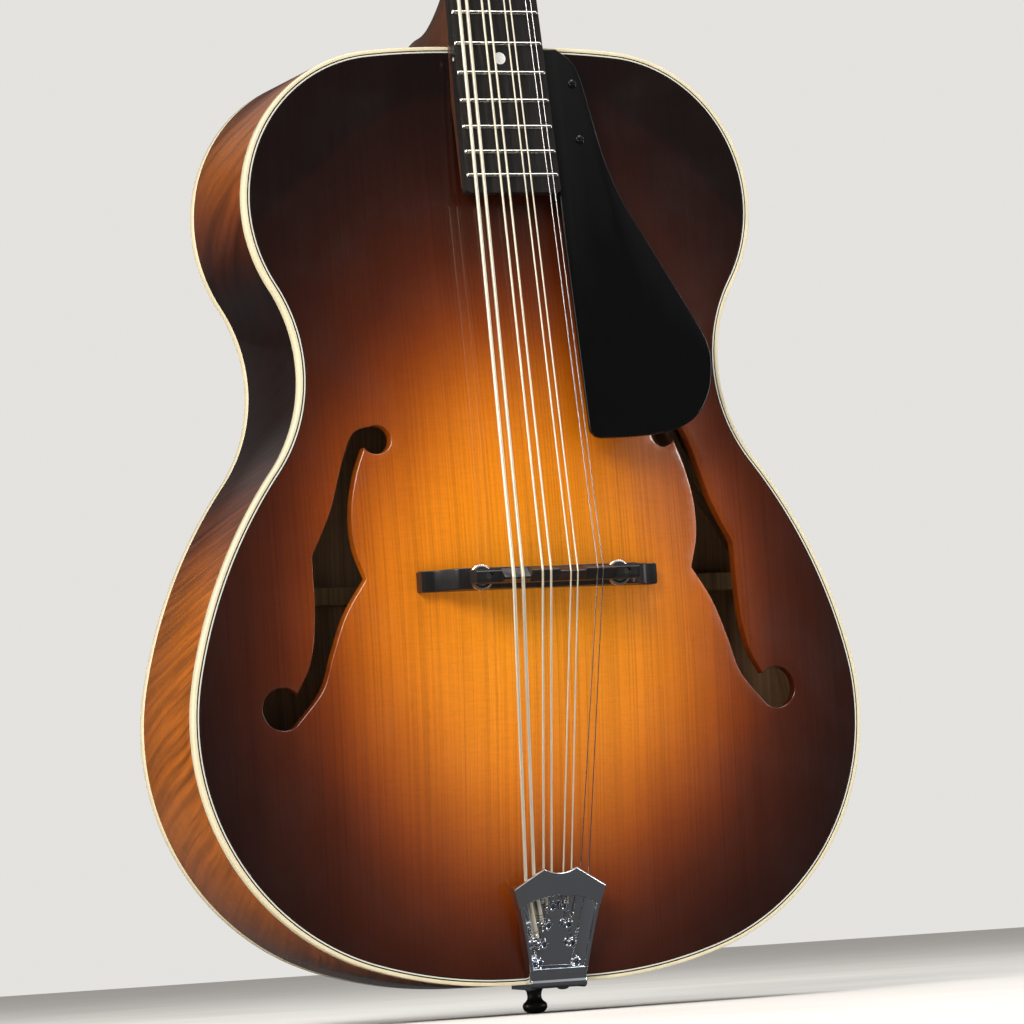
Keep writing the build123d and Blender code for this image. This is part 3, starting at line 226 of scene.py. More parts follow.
def outline_run(step, neck_gap):
    """Samples from the neck gap's treble side round the tail to its bass side."""
    half = [s for s in outline_half(step) if s[0] > neck_gap + 0.2 * MM or s[1] < BODY_LENGTH / 2]
    half.append((neck_gap, BODY_LENGTH, 0.0, 1.0))
    mirrored = [(-x, z, -nx, nz) for x, z, nx, nz in half]
    return half[::-1] + mirrored[1:]


def outline_ring(step):
    """Samples the whole way round, with no gap for the neck."""
    half = outline_half(step) + [(0.0, BODY_LENGTH, 0.0, 1.0)]
    return half + [(-x, z, -nx, nz) for x, z, nx, nz in half[1:-1]][::-1]


def edge_reaches():
    """Distances from the arch's centre to the outline, as sorted lists of angle and distance."""
    found = sorted(
        (math.atan2(z - ARCH_CENTRE_Z, x), math.hypot(x, z - ARCH_CENTRE_Z))
        for x, z, _, _ in outline_half(0.5 * MM) + [(0.0, BODY_LENGTH, 0.0, 1.0)]
    )
    return [a for a, _ in found], [r for _, r in found]


EDGE_ANGLES, EDGE_REACHES = edge_reaches()


def edge_reach(angle):
    """Distance from the arch's centre to the outline in one direction."""
    k = min(max(bisect.bisect(EDGE_ANGLES, angle), 1), len(EDGE_ANGLES) - 1)
    a0, a1 = EDGE_ANGLES[k - 1], EDGE_ANGLES[k]
    share = (angle - a0) / (a1 - a0) if a1 > a0 else 0.0
    return EDGE_REACHES[k - 1] + (EDGE_REACHES[k] - EDGE_REACHES[k - 1]) * min(max(share, 0), 1)


def arch_share(x, z):
    """0 at the arch's crown and 1 at the outline; ovals inside, the outline's own shape outside."""
    up = z - ARCH_CENTRE_Z
    angle = math.atan2(up, abs(x))
    distance = math.hypot(x, up)
    outer = edge_reach(angle)
    if distance >= outer:
        return 1.0
    tall = BODY_LENGTH - ARCH_CENTRE_Z if up > 0 else ARCH_CENTRE_Z
    oval = 1 / math.hypot(math.cos(angle) / ARCH_OVAL_HALF_WIDTH, math.sin(angle) / tall)
    share = distance / outer
    for _ in range(12):
        share = distance / (oval * (1 - share**2) + outer * share**2)
    return share


def arch_height(x, z, rise):
    """Height of a carved plate above its rim."""
    carved = min(arch_share(x, z) / RECURVE_START, 1.0)
    return rise * math.cos(math.pi / 2 * carved**1.15) ** 2


# ---- mesh helpers ---------------------------------------------------------------------------
def bridge_rings(bm, rings, closed_path=False, caps=True):
    """Joins equal rings of points into a tube of quads."""
    made = [[bm.verts.new(p) for p in ring] for ring in rings]
    pairs = list(zip(made, made[1:]))
    if closed_path:
        pairs.append((made[-1], made[0]))
    for low, high in pairs:
        for k in range(len(low)):
            n = (k + 1) % len(low)
            bm.faces.new((low[k], low[n], high[n], high[k]))
    if caps and not closed_path:
        bm.faces.new(made[0][::-1])
        bm.faces.new(made[-1])
    return made


def turned(bm, at, profile, segments=40, ripple=None):
    """Lathe work: profile is (radius, height) along the frame's Z; ripple changes each radius."""
    rings = []
    for radius, height in profile:
        ring = []
        for k in range(segments):
            angle = 2 * math.pi * k / segments
            r = ripple(radius, height, angle) if ripple else radius
            ring.append(at @ Vector((r * math.cos(angle), r * math.sin(angle), height)))
        rings.append(ring)
    bridge_rings(bm, rings)


def offset_loop(points, distance):
    """A closed loop of 2D points moved inwards, where the loop runs anticlockwise."""
    moved = []
    for k, here in enumerate(points):
        before = (here - points[k - 1]).normalized()
        after = (points[(k + 1) % len(points)] - here).normalized()
        side = Vector((-before.y - after.y, before.x + after.x))
        if side.length < 1e-6:
            side = Vector((-before.y, before.x))
        side.normalize()
        reach = max(0.5, side.dot(Vector((-before.y, before.x))))
        moved.append(here + side * distance / reach)
    return moved


def rounded_edge(width, steps=4):
    """(inset, drop) pairs of a rounded edge, from the flat face over to the side wall."""
    turns = [math.pi / 2 * k / steps for k in range(steps + 1)]
    return [(width * (1 - math.sin(t)), width * (1 - math.cos(t))) for t in turns]


def slab(bm, at, outline, bottom, top, edge):
    """A flat piece with rounded edges: outline is anticlockwise (x, y) in the frame."""
    points = [Vector(p) for p in outline]
    levels = [(inset, bottom + drop) for inset, drop in rounded_edge(edge)]
    levels += [(inset, top - drop) for inset, drop in rounded_edge(edge)[::-1]]
    rings = [[at @ Vector((*p, h)) for p in offset_loop(points, inset)] for inset, h in levels]
    bridge_rings(bm, rings)


def curve_through(points, steps=6):
    """Smooth open curve through 2D or 3D points."""
    points = [Vector(p) for p in points]
    first = points[0] * 2 - points[1]
    last = points[-1] * 2 - points[-2]
    padded = [first, *points, last]
    found = []
    for p0, p1, p2, p3 in zip(padded, padded[1:], padded[2:], padded[3:]):
        for k in range(steps):
            t = k / steps
            found.append(
                (p1 * 2 + (p2 - p0) * t + (p0 * 2 - p1 * 5 + p2 * 4 - p3) * t**2
                 + (p1 * 3 - p0 - p2 * 3 + p3) * t**3) * 0.5
            )
    return found + [points[-1]]


def tube(bm, path, radius, sides=12):
    """Round wire along a path, with its ring carried without twist."""
    path = [Vector(p) for p in path]
    normal = (path[1] - path[0]).orthogonal().normalized()
    rings = []
    for k, here in enumerate(path):
        ahead = path[min(k + 1, len(path) - 1)] - path[max(k - 1, 0)]
        ahead.normalize()
        normal = (normal - ahead * normal.dot(ahead)).normalized()
        other = ahead.cross(normal)
        size = radius(k / (len(path) - 1)) if callable(radius) else radius
        rings.append(
            [
                here + (normal * math.cos(a) + other * math.sin(a)) * size
                for a in (2 * math.pi * s / sides for s in range(sides))
            ]
        )
    bridge_rings(bm, rings)


def spaced(a, b, spacing):
    """Points from a towards b, without b."""
    a, b = Vector(a), Vector(b)
    count = max(1, round((b - a).length / spacing))
    return [a.lerp(b, k / count) for k in range(count)]


def piece(name, bm, finish, body="root", stands_for=(), sharp=32.0):
    """Makes the finished object, with its material, its body and the CAD nodes it stands for."""
    bmesh.ops.recalc_face_normals(bm, faces=bm.faces)
    mesh = bpy.data.meshes.new(name)
    bm.to_mesh(mesh)
    bm.free()
    mesh.shade_smooth()
    mesh.set_sharp_from_angle(angle=math.radians(sharp))
    made = bpy.data.objects.new(name, mesh)
    bpy.context.scene.collection.objects.link(made)
    made.data.materials.append(bpy.data.materials[finish])
    if body:
        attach(made, body)
    for node_name in stands_for:
        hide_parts(node_name)
    return made


def cut_away(target, cutter_bm):
    """Cuts a shape out of a piece's mesh before it is shown."""
    cutter_mesh = bpy.data.meshes.new("cutter")
    bmesh.ops.recalc_face_normals(cutter_bm, faces=cutter_bm.faces)
    cutter_bm.to_mesh(cutter_mesh)
    cutter_bm.free()
    cutter = bpy.data.objects.new("cutter", cutter_mesh)
    bpy.context.scene.collection.objects.link(cutter)
    cut = target.modifiers.new("cut", "BOOLEAN")
    cut.operation = "DIFFERENCE"
    cut.solver = "EXACT"
    cut.object = cutter
    graph = bpy.context.evaluated_depsgraph_get()
    result = bpy.data.meshes.new_from_object(target.evaluated_get(graph))
    target.modifiers.clear()
    old = target.data
    target.data = result
    result.name = old.name
    bpy.data.meshes.remove(old)
    bpy.data.objects.remove(cutter)
    bpy.data.meshes.remove(cutter_mesh)


def dress(node_name, finish):
    """Gives a carried-over CAD node its finish."""
    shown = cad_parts[node_name]
    shown.data.materials.clear()
    shown.data.materials.append(bpy.data.materials[finish])


# ---- shader groups --------------------------------------------------------------------------
def put(tree, kind, inputs=None, **settings):
    """Adds a node; an input that is a socket is linked, and any other is a value."""
    made = tree.nodes.new(kind)
    for key, value in settings.items():
        setattr(made, key, value)
    for key, value in (inputs or {}).items():
        if isinstance(value, bpy.types.NodeSocket):
            tree.links.new(value, made.inputs[key])
        else:
            made.inputs[key].default_value = value
    return made


def maths(tree, operation, *values, clamp=False):
    """One step of arithmetic; returns its output."""
    made = put(tree, "ShaderNodeMath", dict(enumerate(values)), operation=operation, use_clamp=clamp)
    return made.outputs[0]


def scaled(tree, vector, scale):
    """A position stretched by a different factor along each axis."""
    return put(tree, "ShaderNodeMapping", {"Vector": vector, "Scale": scale}).outputs[0]


def noise(tree, vector, detail=3.0, roughness=0.5, distortion=0.0):
    """Noise value at a stretched position."""
    inputs = {"Vector": vector, "Scale": 1.0, "Detail": detail, "Roughness": roughness}
    return put(tree, "ShaderNodeTexNoise", {**inputs, "Distortion": distortion}).outputs[0]


def spread(tree, value, low, high, to_low=0.0, to_high=1.0):
    """A value's range stretched to another one, and clamped."""
    inputs = {"Value": value, "From Min": low, "From Max": high, "To Min": to_low, "To Max": to_high}
    return put(tree, "ShaderNodeMapRange", inputs).outputs[0]


def ramp(tree, value, stops):
    """Colour ramp through (place, colour) stops."""
    made = put(tree, "ShaderNodeValToRGB", {0: value})
    band = made.color_ramp
    band.interpolation = "B_SPLINE"
    while len(band.elements) < len(stops):
        band.elements.new(0.5)
    for element, (spot, colour) in zip(band.elements, stops):
        element.position = spot
        element.color = (*colour, 1.0)
    return made.outputs[0]


def mixed(tree, factor, first, second, mode="MIX"):
    """Two colours mixed by a mask; a tuple is a plain colour."""
    first, second = [(*c, 1.0) if isinstance(c, tuple) else c for c in (first, second)]
    inputs = {0: factor, 6: first, 7: second}
    return put(tree, "ShaderNodeMix", inputs, data_type="RGBA", blend_type=mode).outputs[2]


def tinted(tree, colour, shade):
    """A colour multiplied by a grey value."""
    return mixed(tree, 1.0, colour, shade, "MULTIPLY")


def axes(tree, vector):
    """The three numbers of a vector."""
    return put(tree, "ShaderNodeSeparateXYZ", {0: vector}).outputs


def open_group(name, inputs, outputs):
    """Starts a shader group with named sockets; returns it with its inner input and output nodes."""
    tree = bpy.data.node_groups.new(name, "ShaderNodeTree")
    kinds = {"vector": "NodeSocketVector", "value": "NodeSocketFloat", "colour": "NodeSocketColor"}
    for label, kind, default in inputs:
        socket = tree.interface.new_socket(label, in_out="INPUT", socket_type=kinds[kind])
        if default is not None:
            socket.default_value = default
    for label, kind in outputs:
        tree.interface.new_socket(label, in_out="OUTPUT", socket_type=kinds[kind])
    return tree, tree.nodes.new("NodeGroupInput"), tree.nodes.new("NodeGroupOutput")


def group_grain():
    """Straight growth lines that run along Z, with fine pores and a faint silk across them."""
    tree, given, result = open_group(
        "Wood Grain",
        [
            ("Position", "vector", None),
            ("Lines per Metre", "value", 800.0),
            ("Depth", "value", 0.3),
            ("Silk", "value", 0.1),
            ("Thickness Share", "value", 1.0),
        ],
        [("Shade", "value"), ("Height", "value")],
    )
    position = given.outputs["Position"]
    parts = axes(tree, position)
    drift = noise(tree, scaled(tree, position, (5.0, 5.0, 1.6)), 1.0)
    wander = maths(tree, "MULTIPLY", drift, 0.005)
    through = maths(tree, "MULTIPLY", parts[1], given.outputs["Thickness Share"])
    across = maths(tree, "ADD", maths(tree, "ADD", parts[0], through), wander)
    packed_lines = maths(tree, "MULTIPLY", across, given.outputs["Lines per Metre"])
    drawn_out = maths(tree, "MULTIPLY", parts[2], 3.0)
    lines = put(tree, "ShaderNodeCombineXYZ", {0: packed_lines, 2: drawn_out}).outputs[0]
    growth = noise(tree, lines, 3.0, 0.7)
    pores = noise(tree, scaled(tree, position, (2600.0, 2600.0, 60.0)), 2.0, 0.7)
    silk = noise(tree, scaled(tree, position, (120.0, 120.0, 900.0)), 3.0, 0.6)
    dark = maths(tree, "MULTIPLY", spread(tree, growth, 0.42, 0.66), given.outputs["Depth"])
    half_depth = maths(tree, "MULTIPLY", given.outputs["Depth"], 0.5)
    fine = maths(tree, "MULTIPLY", spread(tree, pores, 0.5, 0.8), half_depth)
    sheen = maths(tree, "MULTIPLY", maths(tree, "SUBTRACT", silk, 0.5), given.outputs["Silk"])
    lined = maths(tree, "SUBTRACT", maths(tree, "SUBTRACT", 1.0, dark), fine)
    tree.links.new(maths(tree, "ADD", lined, sheen, clamp=True), result.inputs["Shade"])
    relief = maths(tree, "ADD", growth, maths(tree, "MULTIPLY", pores, 0.5))
    tree.links.new(relief, result.inputs["Height"])
    return tree


def group_curl():
    """Flame figure: uneven slanting bands across the grain."""
    tree, given, result = open_group(
        "Curl Figure",
        [
            ("Position", "vector", None),
            ("Bands per Metre", "value", 90.0),
            ("Slant", "value", 0.5),
            ("Strength", "value", 0.5),
            ("Waver", "value", 0.012),
        ],
        [("Shade", "value"), ("Height", "value")],
    )
    parts = axes(tree, given.outputs["Position"])
    sideways = maths(tree, "MULTIPLY", maths(tree, "ADD", parts[0], parts[1]), given.outputs["Slant"])
    bend = noise(tree, scaled(tree, given.outputs["Position"], (16.0, 16.0, 10.0)), 1.0)
    waver = maths(tree, "MULTIPLY", bend, given.outputs["Waver"])
    ahead = maths(tree, "ADD", maths(tree, "ADD", parts[2], sideways), waver)
    packed_bands = maths(tree, "MULTIPLY", ahead, given.outputs["Bands per Metre"])
    drawn_out = maths(tree, "MULTIPLY", parts[1], 9.0)
    bands = put(tree, "ShaderNodeCombineXYZ", {0: packed_bands, 1: drawn_out}).outputs[0]
    flame = noise(tree, bands, 2.0, 0.55, 0.3)
    patch = noise(tree, scaled(tree, given.outputs["Position"], (12.0, 12.0, 9.0)), 1.0)
    depth = maths(tree, "MULTIPLY", spread(tree, patch, 0.3, 0.6, 0.45, 1.0), given.outputs["Strength"])
    curl = spread(tree, flame, 0.36, 0.64)
    shade = maths(tree, "SUBTRACT", 1.0, maths(tree, "MULTIPLY", curl, depth))
    tree.links.new(shade, result.inputs["Shade"])
    tree.links.new(curl, result.inputs["Height"])
    return tree


def group_burst():
    """Sunburst mask: 0 in the glowing middle, 1 at the dark edge, with a sprayed, uneven border."""
    tree, given, result = open_group(
        "Sunburst",
        [
            ("Position", "vector", None),
            ("Middle Height", "value", 0.18),
            ("Half Width", "value", 0.11),
            ("Reach Up", "value", 0.16),
            ("Reach Down", "value", 0.13),
        ],
        [("Amount", "value")],
    )
    parts = axes(tree, given.outputs["Position"])
    above = maths(tree, "SUBTRACT", parts[2], given.outputs["Middle Height"])
    upward = maths(tree, "DIVIDE", maths(tree, "MAXIMUM", above, 0.0), given.outputs["Reach Up"])
    downward = maths(tree, "DIVIDE", maths(tree, "MINIMUM", above, 0.0), given.outputs["Reach Down"])
    tall = maths(tree, "ADD", upward, downward)
    wide = maths(tree, "DIVIDE", parts[0], given.outputs["Half Width"])
    squared = maths(tree, "ADD", maths(tree, "MULTIPLY", tall, tall), maths(tree, "MULTIPLY", wide, wide))
    spray = noise(tree, scaled(tree, given.outputs["Position"], (14.0, 14.0, 10.0)), 2.0)
    uneven = maths(tree, "MULTIPLY", maths(tree, "SUBTRACT", spray, 0.5), 0.22)
    amount = maths(tree, "ADD", maths(tree, "SQRT", squared), uneven)
    tree.links.new(maths(tree, "MULTIPLY", amount, 0.5, clamp=True), result.inputs["Amount"])
    return tree


def group_handling():
    """Wear of a handled surface: soft smudges and fine polishing scratches."""
    tree, given, result = open_group(
        "Handling Marks",
        [
            ("Position", "vector", None),
            ("Smooth", "value", 0.05),
            ("Marked", "value", 0.15),
            ("Size", "value", 0.02),
        ],
        [("Roughness", "value"), ("Height", "value")],
    )
    sized = put(
        tree,
        "ShaderNodeVectorMath",
        {0: given.outputs["Position"], "Scale": maths(tree, "DIVIDE", 1.0, given.outputs["Size"])},
        operation="SCALE",
    ).outputs[0]
    smudge = noise(tree, sized, 4.0, 0.6)
    scratch = noise(tree, scaled(tree, sized, (30.0, 3.0, 22.0)), 2.0, 0.7)
    scratched = spread(tree, scratch, 0.35, 0.7, 0.4, 1.0)
    mask = maths(tree, "MULTIPLY", spread(tree, smudge, 0.45, 0.75), scratched)
    range_of_wear = maths(tree, "SUBTRACT", given.outputs["Marked"], given.outputs["Smooth"])
    extra = maths(tree, "MULTIPLY", mask, range_of_wear)
    tree.links.new(maths(tree, "ADD", given.outputs["Smooth"], extra), result.inputs["Roughness"])
    tree.links.new(scratch, result.inputs["Height"])
    return tree


def group(tree, name, **inputs):
    """Places a shader group; its sockets are named in plain words with underscores for spaces."""
    made = tree.nodes.new("ShaderNodeGroup")
    made.node_tree = bpy.data.node_groups[name]
    for key, value in inputs.items():
        socket = made.inputs[key.replace("_", " ")]
        if isinstance(value, bpy.types.NodeSocket):
            tree.links.new(value, socket)
        else:
            socket.default_value = value
    return made.outputs


# ---- finishes -------------------------------------------------------------------------------
WOOD_RELIEF = 0.04 * MM
WRAP_PITCH = 0.5 * MM


def new_finish(name, **constants):
    """A material with its Principled shader and object position; constants are shader sockets."""
    packed = bpy.data.materials.get(name)
    if packed:
        packed.name = f"packed_{name}"
    material = bpy.data.materials.new(name)
    material.use_nodes = True
    tree = material.node_tree
    shader = tree.nodes["Principled BSDF"]
    for key, value in constants.items():
        shader.inputs[key.replace("_", " ")].default_value = value
    position = tree.nodes.new("ShaderNodeTexCoord").outputs["Object"]
    return tree, shader, position


def drive(tree, shader, colour=None, roughness=None, height=None, depth=0.0002):
    """Links what a finish worked out to the shader; height goes through a bump."""
    if colour is not None:
        tree.links.new(colour, shader.inputs["Base Color"])
    if roughness is not None:
        tree.links.new(roughness, shader.inputs["Roughness"])
    if height is not None:
        bump = put(tree, "ShaderNodeBump", {"Height": height, "Distance": depth, "Strength": 1.0})
        tree.links.new(bump.outputs[0], shader.inputs["Normal"])


def lacquered(name):
    """Start of a gloss-lacquered wood: a clear coat over a softer base."""
    coat = {"Coat_Weight": 0.85, "Coat_Roughness": 0.045, "Coat_IOR": 1.5}
    tree, shader, position = new_finish(name, IOR=1.4, **coat)
    marks = group(tree, "Handling Marks", Position=position, Smooth=0.3, Marked=0.45, Size=0.03)
    return tree, shader, position, marks


def burst_ramp(tree, amount, colours, places):
    """Colour of a sunburst, from (place, name of the colour) pairs."""
    return ramp(tree, amount, [(spot, tuple(getattr(colours, name))) for spot, name in places])


def finish_spruce_top(colours):
    """Sunburst spruce under gloss lacquer."""
    tree, shader, position, marks = lacquered("spruce_top")
    wood = {"Lines_per_Metre": 900.0, "Depth": 0.26, "Silk": 0.24, "Thickness_Share": 0.03}
    grain = group(tree, "Wood Grain", Position=position, **wood)
    glow = {"Middle_Height": 0.186, "Half_Width": 0.104, "Reach_Up": 0.142, "Reach_Down": 0.126}
    burst = group(tree, "Sunburst", Position=position, **glow)
    places = [(0.0, "burst_middle"), (0.3, "burst_glow"), (0.5, "burst_red")]
    places += [(0.68, "burst_brown"), (0.97, "burst_edge")]
    colour = tinted(tree, burst_ramp(tree, burst["Amount"], colours, places), grain["Shade"])
    drive(tree, shader, colour, marks["Roughness"], grain["Height"], WOOD_RELIEF)


def finish_maple_back(colours):
    """Sunburst flamed maple, the figure running across the back."""
    tree, shader, position, marks = lacquered("maple_back")
    mirrored = put(tree, "ShaderNodeVectorMath", {0: position}, operation="ABSOLUTE").outputs[0]
    curl = group(tree, "Curl Figure", Position=mirrored, Bands_per_Metre=190.0, Slant=0.3, Strength=0.55)
    grain = group(tree, "Wood Grain", Position=position, Lines_per_Metre=500.0, Depth=0.16, Silk=0.1)
    glow = {"Middle_Height": 0.2, "Half_Width": 0.125, "Reach_Up": 0.17, "Reach_Down": 0.14}
    burst = group(tree, "Sunburst", Position=position, **glow)
    places = [(0.0, "maple_amber"), (0.4, "maple_brown"), (0.62, "burst_brown"), (0.9, "burst_edge")]
    colour = burst_ramp(tree, burst["Amount"], colours, places)
    figured = tinted(tree, tinted(tree, colour, curl["Shade"]), grain["Shade"])
    drive(tree, shader, figured, marks["Roughness"], curl["Height"], WOOD_RELIEF)


def finish_maple_ribs(colours):
    """Flamed maple ribs: amber at the bouts, nearly black at the waist."""
    tree, shader, position, marks = lacquered("maple_ribs")
    here = axes(tree, position)
    sideways = maths(tree, "ABSOLUTE", here[0])
    below = maths(tree, "SUBTRACT", RIB_CURL_CENTRE, here[2])
    unrolled = maths(tree, "MULTIPLY", maths(tree, "ARCTAN2", sideways, below), RIB_CURL_CENTRE)
    bent = put(tree, "ShaderNodeCombineXYZ", {1: here[1], 2: unrolled}).outputs[0]
    curl = group(tree, "Curl Figure", Position=bent, Bands_per_Metre=240.0, Slant=0.35, Strength=0.62)
    grain = group(tree, "Wood Grain", Position=position, Lines_per_Metre=700.0, Depth=0.16, Silk=0.1)
    waist = maths(tree, "ABSOLUTE", maths(tree, "SUBTRACT", here[2], WAIST_HEIGHT))
    dark = spread(tree, waist, 0.035, 0.115, 1.0, 0.0)
    foot = spread(tree, here[2], 0.0, 0.09, 0.42, 0.0)
    shoulder = spread(tree, here[2], 0.44, 0.48, 0.0, 0.5)
    amount = maths(tree, "MAXIMUM", maths(tree, "MAXIMUM", dark, foot), shoulder)
    places = [(0.0, "maple_amber"), (0.35, "maple_brown"), (0.7, "burst_brown"), (1.0, "burst_edge")]
    colour = burst_ramp(tree, amount, colours, places)
    figured = tinted(tree, tinted(tree, colour, curl["Shade"]), grain["Shade"])
    drive(tree, shader, figured, marks["Roughness"], curl["Height"], WOOD_RELIEF)


def finish_neck_maple(colours):
    """Dark brown gloss over plain maple."""
    tree, shader, position, marks = lacquered("neck_maple")
    curl = group(tree, "Curl Figure", Position=position, Bands_per_Metre=80.0, Slant=0.2, Strength=0.3)
    grain = group(tree, "Wood Grain", Position=position, Lines_per_Metre=900.0, Depth=0.3, Silk=0.1)
    shade = maths(tree, "MULTIPLY", curl["Shade"], grain["Shade"])
    colour = tinted(tree, tuple(colours.neck_brown), shade)
    drive(tree, shader, colour, marks["Roughness"], grain["Height"], 0.00003)


def finish_bare_wood(name, colour, lines):
    """Unfinished wood inside the body."""
    tree, shader, position = new_finish(name, Specular_IOR_Level=0.25)
    grain = group(tree, "Wood Grain", Position=position, Lines_per_Metre=lines, Depth=0.4, Silk=0.12)
    marks = group(tree, "Handling Marks", Position=position, Smooth=0.6, Marked=0.85, Size=0.012)
    drive(tree, shader, tinted(tree, colour, grain["Shade"]), marks["Roughness"], grain["Height"], 0.00012)


def finish_ebony(colours):
    """Oiled ebony: near black, open pores, a satin face with polished patches."""
    tree, shader, position = new_finish("ebony", Specular_IOR_Level=0.45)
    grain = group(tree, "Wood Grain", Position=position, Lines_per_Metre=1100.0, Depth=0.75, Silk=0.3)
    marks = group(tree, "Handling Marks", Position=position, Smooth=0.3, Marked=0.46, Size=0.008)
    colour = mixed(tree, grain["Shade"], (0.004, 0.0034, 0.0032), tuple(colours.ebony))
    drive(tree, shader, colour, marks["Roughness"], grain["Height"], 0.00006)


def finish_plastic(name, colour, smooth, marked, coat=0.0, clouds=0.0):
    """Polished plastic, bone, lacquer or shell, with smudges and a faint uneven tone."""
    tree, shader, position = new_finish(name, Coat_Weight=coat, Coat_Roughness=0.05, IOR=1.5)
    marks = group(tree, "Handling Marks", Position=position, Smooth=smooth, Marked=marked, Size=0.01)
    cloud = noise(tree, scaled(tree, position, (160.0, 160.0, 60.0)), 3.0)
    tone = spread(tree, cloud, 0.3, 0.7, 1.0 - clouds, 1.0)
    drive(tree, shader, tinted(tree, colour, tone), marks["Roughness"], marks["Height"], 0.000006)


def finish_pearl():
    """Mother-of-pearl: drifting pale green, rose and blue figure."""
    tree, shader, position = new_finish("pearl", Coat_Weight=0.6, Coat_Roughness=0.04, IOR=1.6)
    drift = noise(tree, scaled(tree, position, (300.0, 300.0, 420.0)), 3.0, 0.5, 0.9)
    marks = group(tree, "Handling Marks", Position=position, Smooth=0.12, Marked=0.24, Size=0.005)
    stops = [(0.3, (0.62, 0.68, 0.64)), (0.45, (0.8, 0.8, 0.78))]
    stops += [(0.58, (0.78, 0.68, 0.72)), (0.7, (0.55, 0.66, 0.74))]
    drive(tree, shader, ramp(tree, drift, stops), marks["Roughness"], drift, 0.00002)


def finish_metal(name, colour, smooth, marked, size=0.006, tarnish=0.12, draw=None):
    """Plated or drawn metal with tarnish in its tone, smudges, and draw lines where it is brushed."""
    tree, shader, position = new_finish(name, Metallic=1.0)
    marks = group(tree, "Handling Marks", Position=position, Smooth=smooth, Marked=marked, Size=size)
    cloud = noise(tree, scaled(tree, position, (220.0, 220.0, 220.0)), 4.0, 0.6)
    tone = spread(tree, cloud, 0.35, 0.75, 1.0, 1.0 - tarnish)
    height = noise(tree, scaled(tree, position, draw), 2.0) if draw else marks["Height"]
    depth = 0.00001 if draw else 0.000004
    drive(tree, shader, tinted(tree, colour, tone), marks["Roughness"], height, depth)


def finish_wound_string(colours):
    """Wrap wire round a core: fine ridges square to the string, with painted shade in the grooves between
    them.
    """
    tree, shader, position = new_finish("wound_string", Metallic=0.72)
    up = axes(tree, position)[2]
    ridge = maths(tree, "SINE", maths(tree, "MULTIPLY", up, 2 * math.pi / WRAP_PITCH))
    cloud = noise(tree, scaled(tree, position, (90.0, 90.0, 30.0)), 3.0, 0.6)
    tone = spread(tree, cloud, 0.3, 0.7, 0.84, 1.0)
    # painted shade: the wire's colour darkens in the troughs between the wrap turns, on top of its uneven
    # tone
    tone_and_groove_shade = maths(tree, "MULTIPLY", tone, spread(tree, ridge, -1.0, 0.2, 0.82, 1.0))
    marks = group(tree, "Handling Marks", Position=position, Smooth=0.42, Marked=0.5, Size=0.02)
    colour = tinted(tree, tuple(colours.wrap_wire), tone_and_groove_shade)
    drive(tree, shader, colour, marks["Roughness"], ridge, 0.00002)


def make_finishes(colours):
    """Builds the shader groups and then every finish."""
    for make_group in (group_grain, group_curl, group_burst, group_handling):
        make_group()
    for make_wood in (finish_spruce_top, finish_maple_back, finish_maple_ribs, finish_neck_maple):
        make_wood(colours)
    finish_bare_wood("inner_wood", (0.42, 0.25, 0.13), 500.0)
    finish_bare_wood("inner_spruce", (0.62, 0.42, 0.22), 700.0)
    finish_ebony(colours)
    finish_plastic("cream_binding", tuple(colours.binding_cream), 0.16, 0.3, 0.5, 0.1)
    finish_plastic("black_purfling", (0.012, 0.011, 0.011), 0.2, 0.3, 0.5, 0.2)
    finish_plastic("white_purfling", (0.72, 0.7, 0.6), 0.2, 0.3, 0.5, 0.08)
    finish_plastic("bone", (0.78, 0.7, 0.52), 0.22, 0.34, 0.0, 0.12)
    finish_plastic("headstock_black", (0.008, 0.0075, 0.008), 0.08, 0.18, 0.8, 0.2)
    finish_plastic("black_plastic", (0.0035, 0.0034, 0.0036), 0.05, 0.14, 0.0, 0.25)
    finish_plastic("tuner_button", (0.74, 0.66, 0.5), 0.15, 0.28, 0.3, 0.14)
    finish_pearl()
    finish_metal("rod_steel", (0.42, 0.42, 0.44), 0.3, 0.5, draw=(30.0, 30.0, 3.0))
    finish_metal("nickel_silver", (0.78, 0.75, 0.68), 0.14, 0.28, draw=(40.0, 1200.0, 1200.0))
    finish_metal("nickel", (0.8, 0.77, 0.71), 0.12, 0.26)
    finish_metal("tail_chrome", (0.74, 0.78, 0.84), 0.025, 0.09, 0.012, 0.04)
    finish_metal("brass", (0.72, 0.5, 0.2), 0.2, 0.38)
    finish_metal("plain_string", (0.6, 0.58, 0.56), 0.18, 0.3, 0.02)
    finish_wound_string(colours)


# ---- carved plates --------------------------------------------------------------------------
FILL_HALF_WIDTH = 0.19
PLATE_STEP = 3.0 * MM


def circle_arc(eye, start, end, count):
    """Points round an f-hole's eye, in degrees."""
    x, z, radius = eye
    turns = [math.radians(start + (end - start) * k / count) for k in range(count + 1)]
    return [Vector((x + radius * math.cos(t), z + radius * math.sin(t))) for t in turns]


def anticlockwise(loop):
    """A closed 2D loop, turned round if it runs clockwise."""
    area = sum(a.x * b.y - b.x * a.y for a, b in zip(loop, loop[1:] + loop[:1]))
    return loop if area > 0 else loop[::-1]


def f_hole(side):
    """Anticlockwise loop of one f-hole, in metres."""
    loop = curve_through(INNER_EDGE_UPPER, 8)[:-1] + curve_through(INNER_EDGE_LOWER, 8)[:-1]
    loop += circle_arc(LOWER_EYE, -126.2, 135.9, 44)[:-1]
    loop += curve_through(OUTER_EDGE_LOWER, 10)[:-1] + curve_through(OUTER_EDGE_UPPER, 8)[:-1]
    loop += circle_arc(UPPER_EYE, 90.0, 329.0, 34)[:-1]
    return anticlockwise([Vector((side * p.x, p.y)) * MM for p in loop])


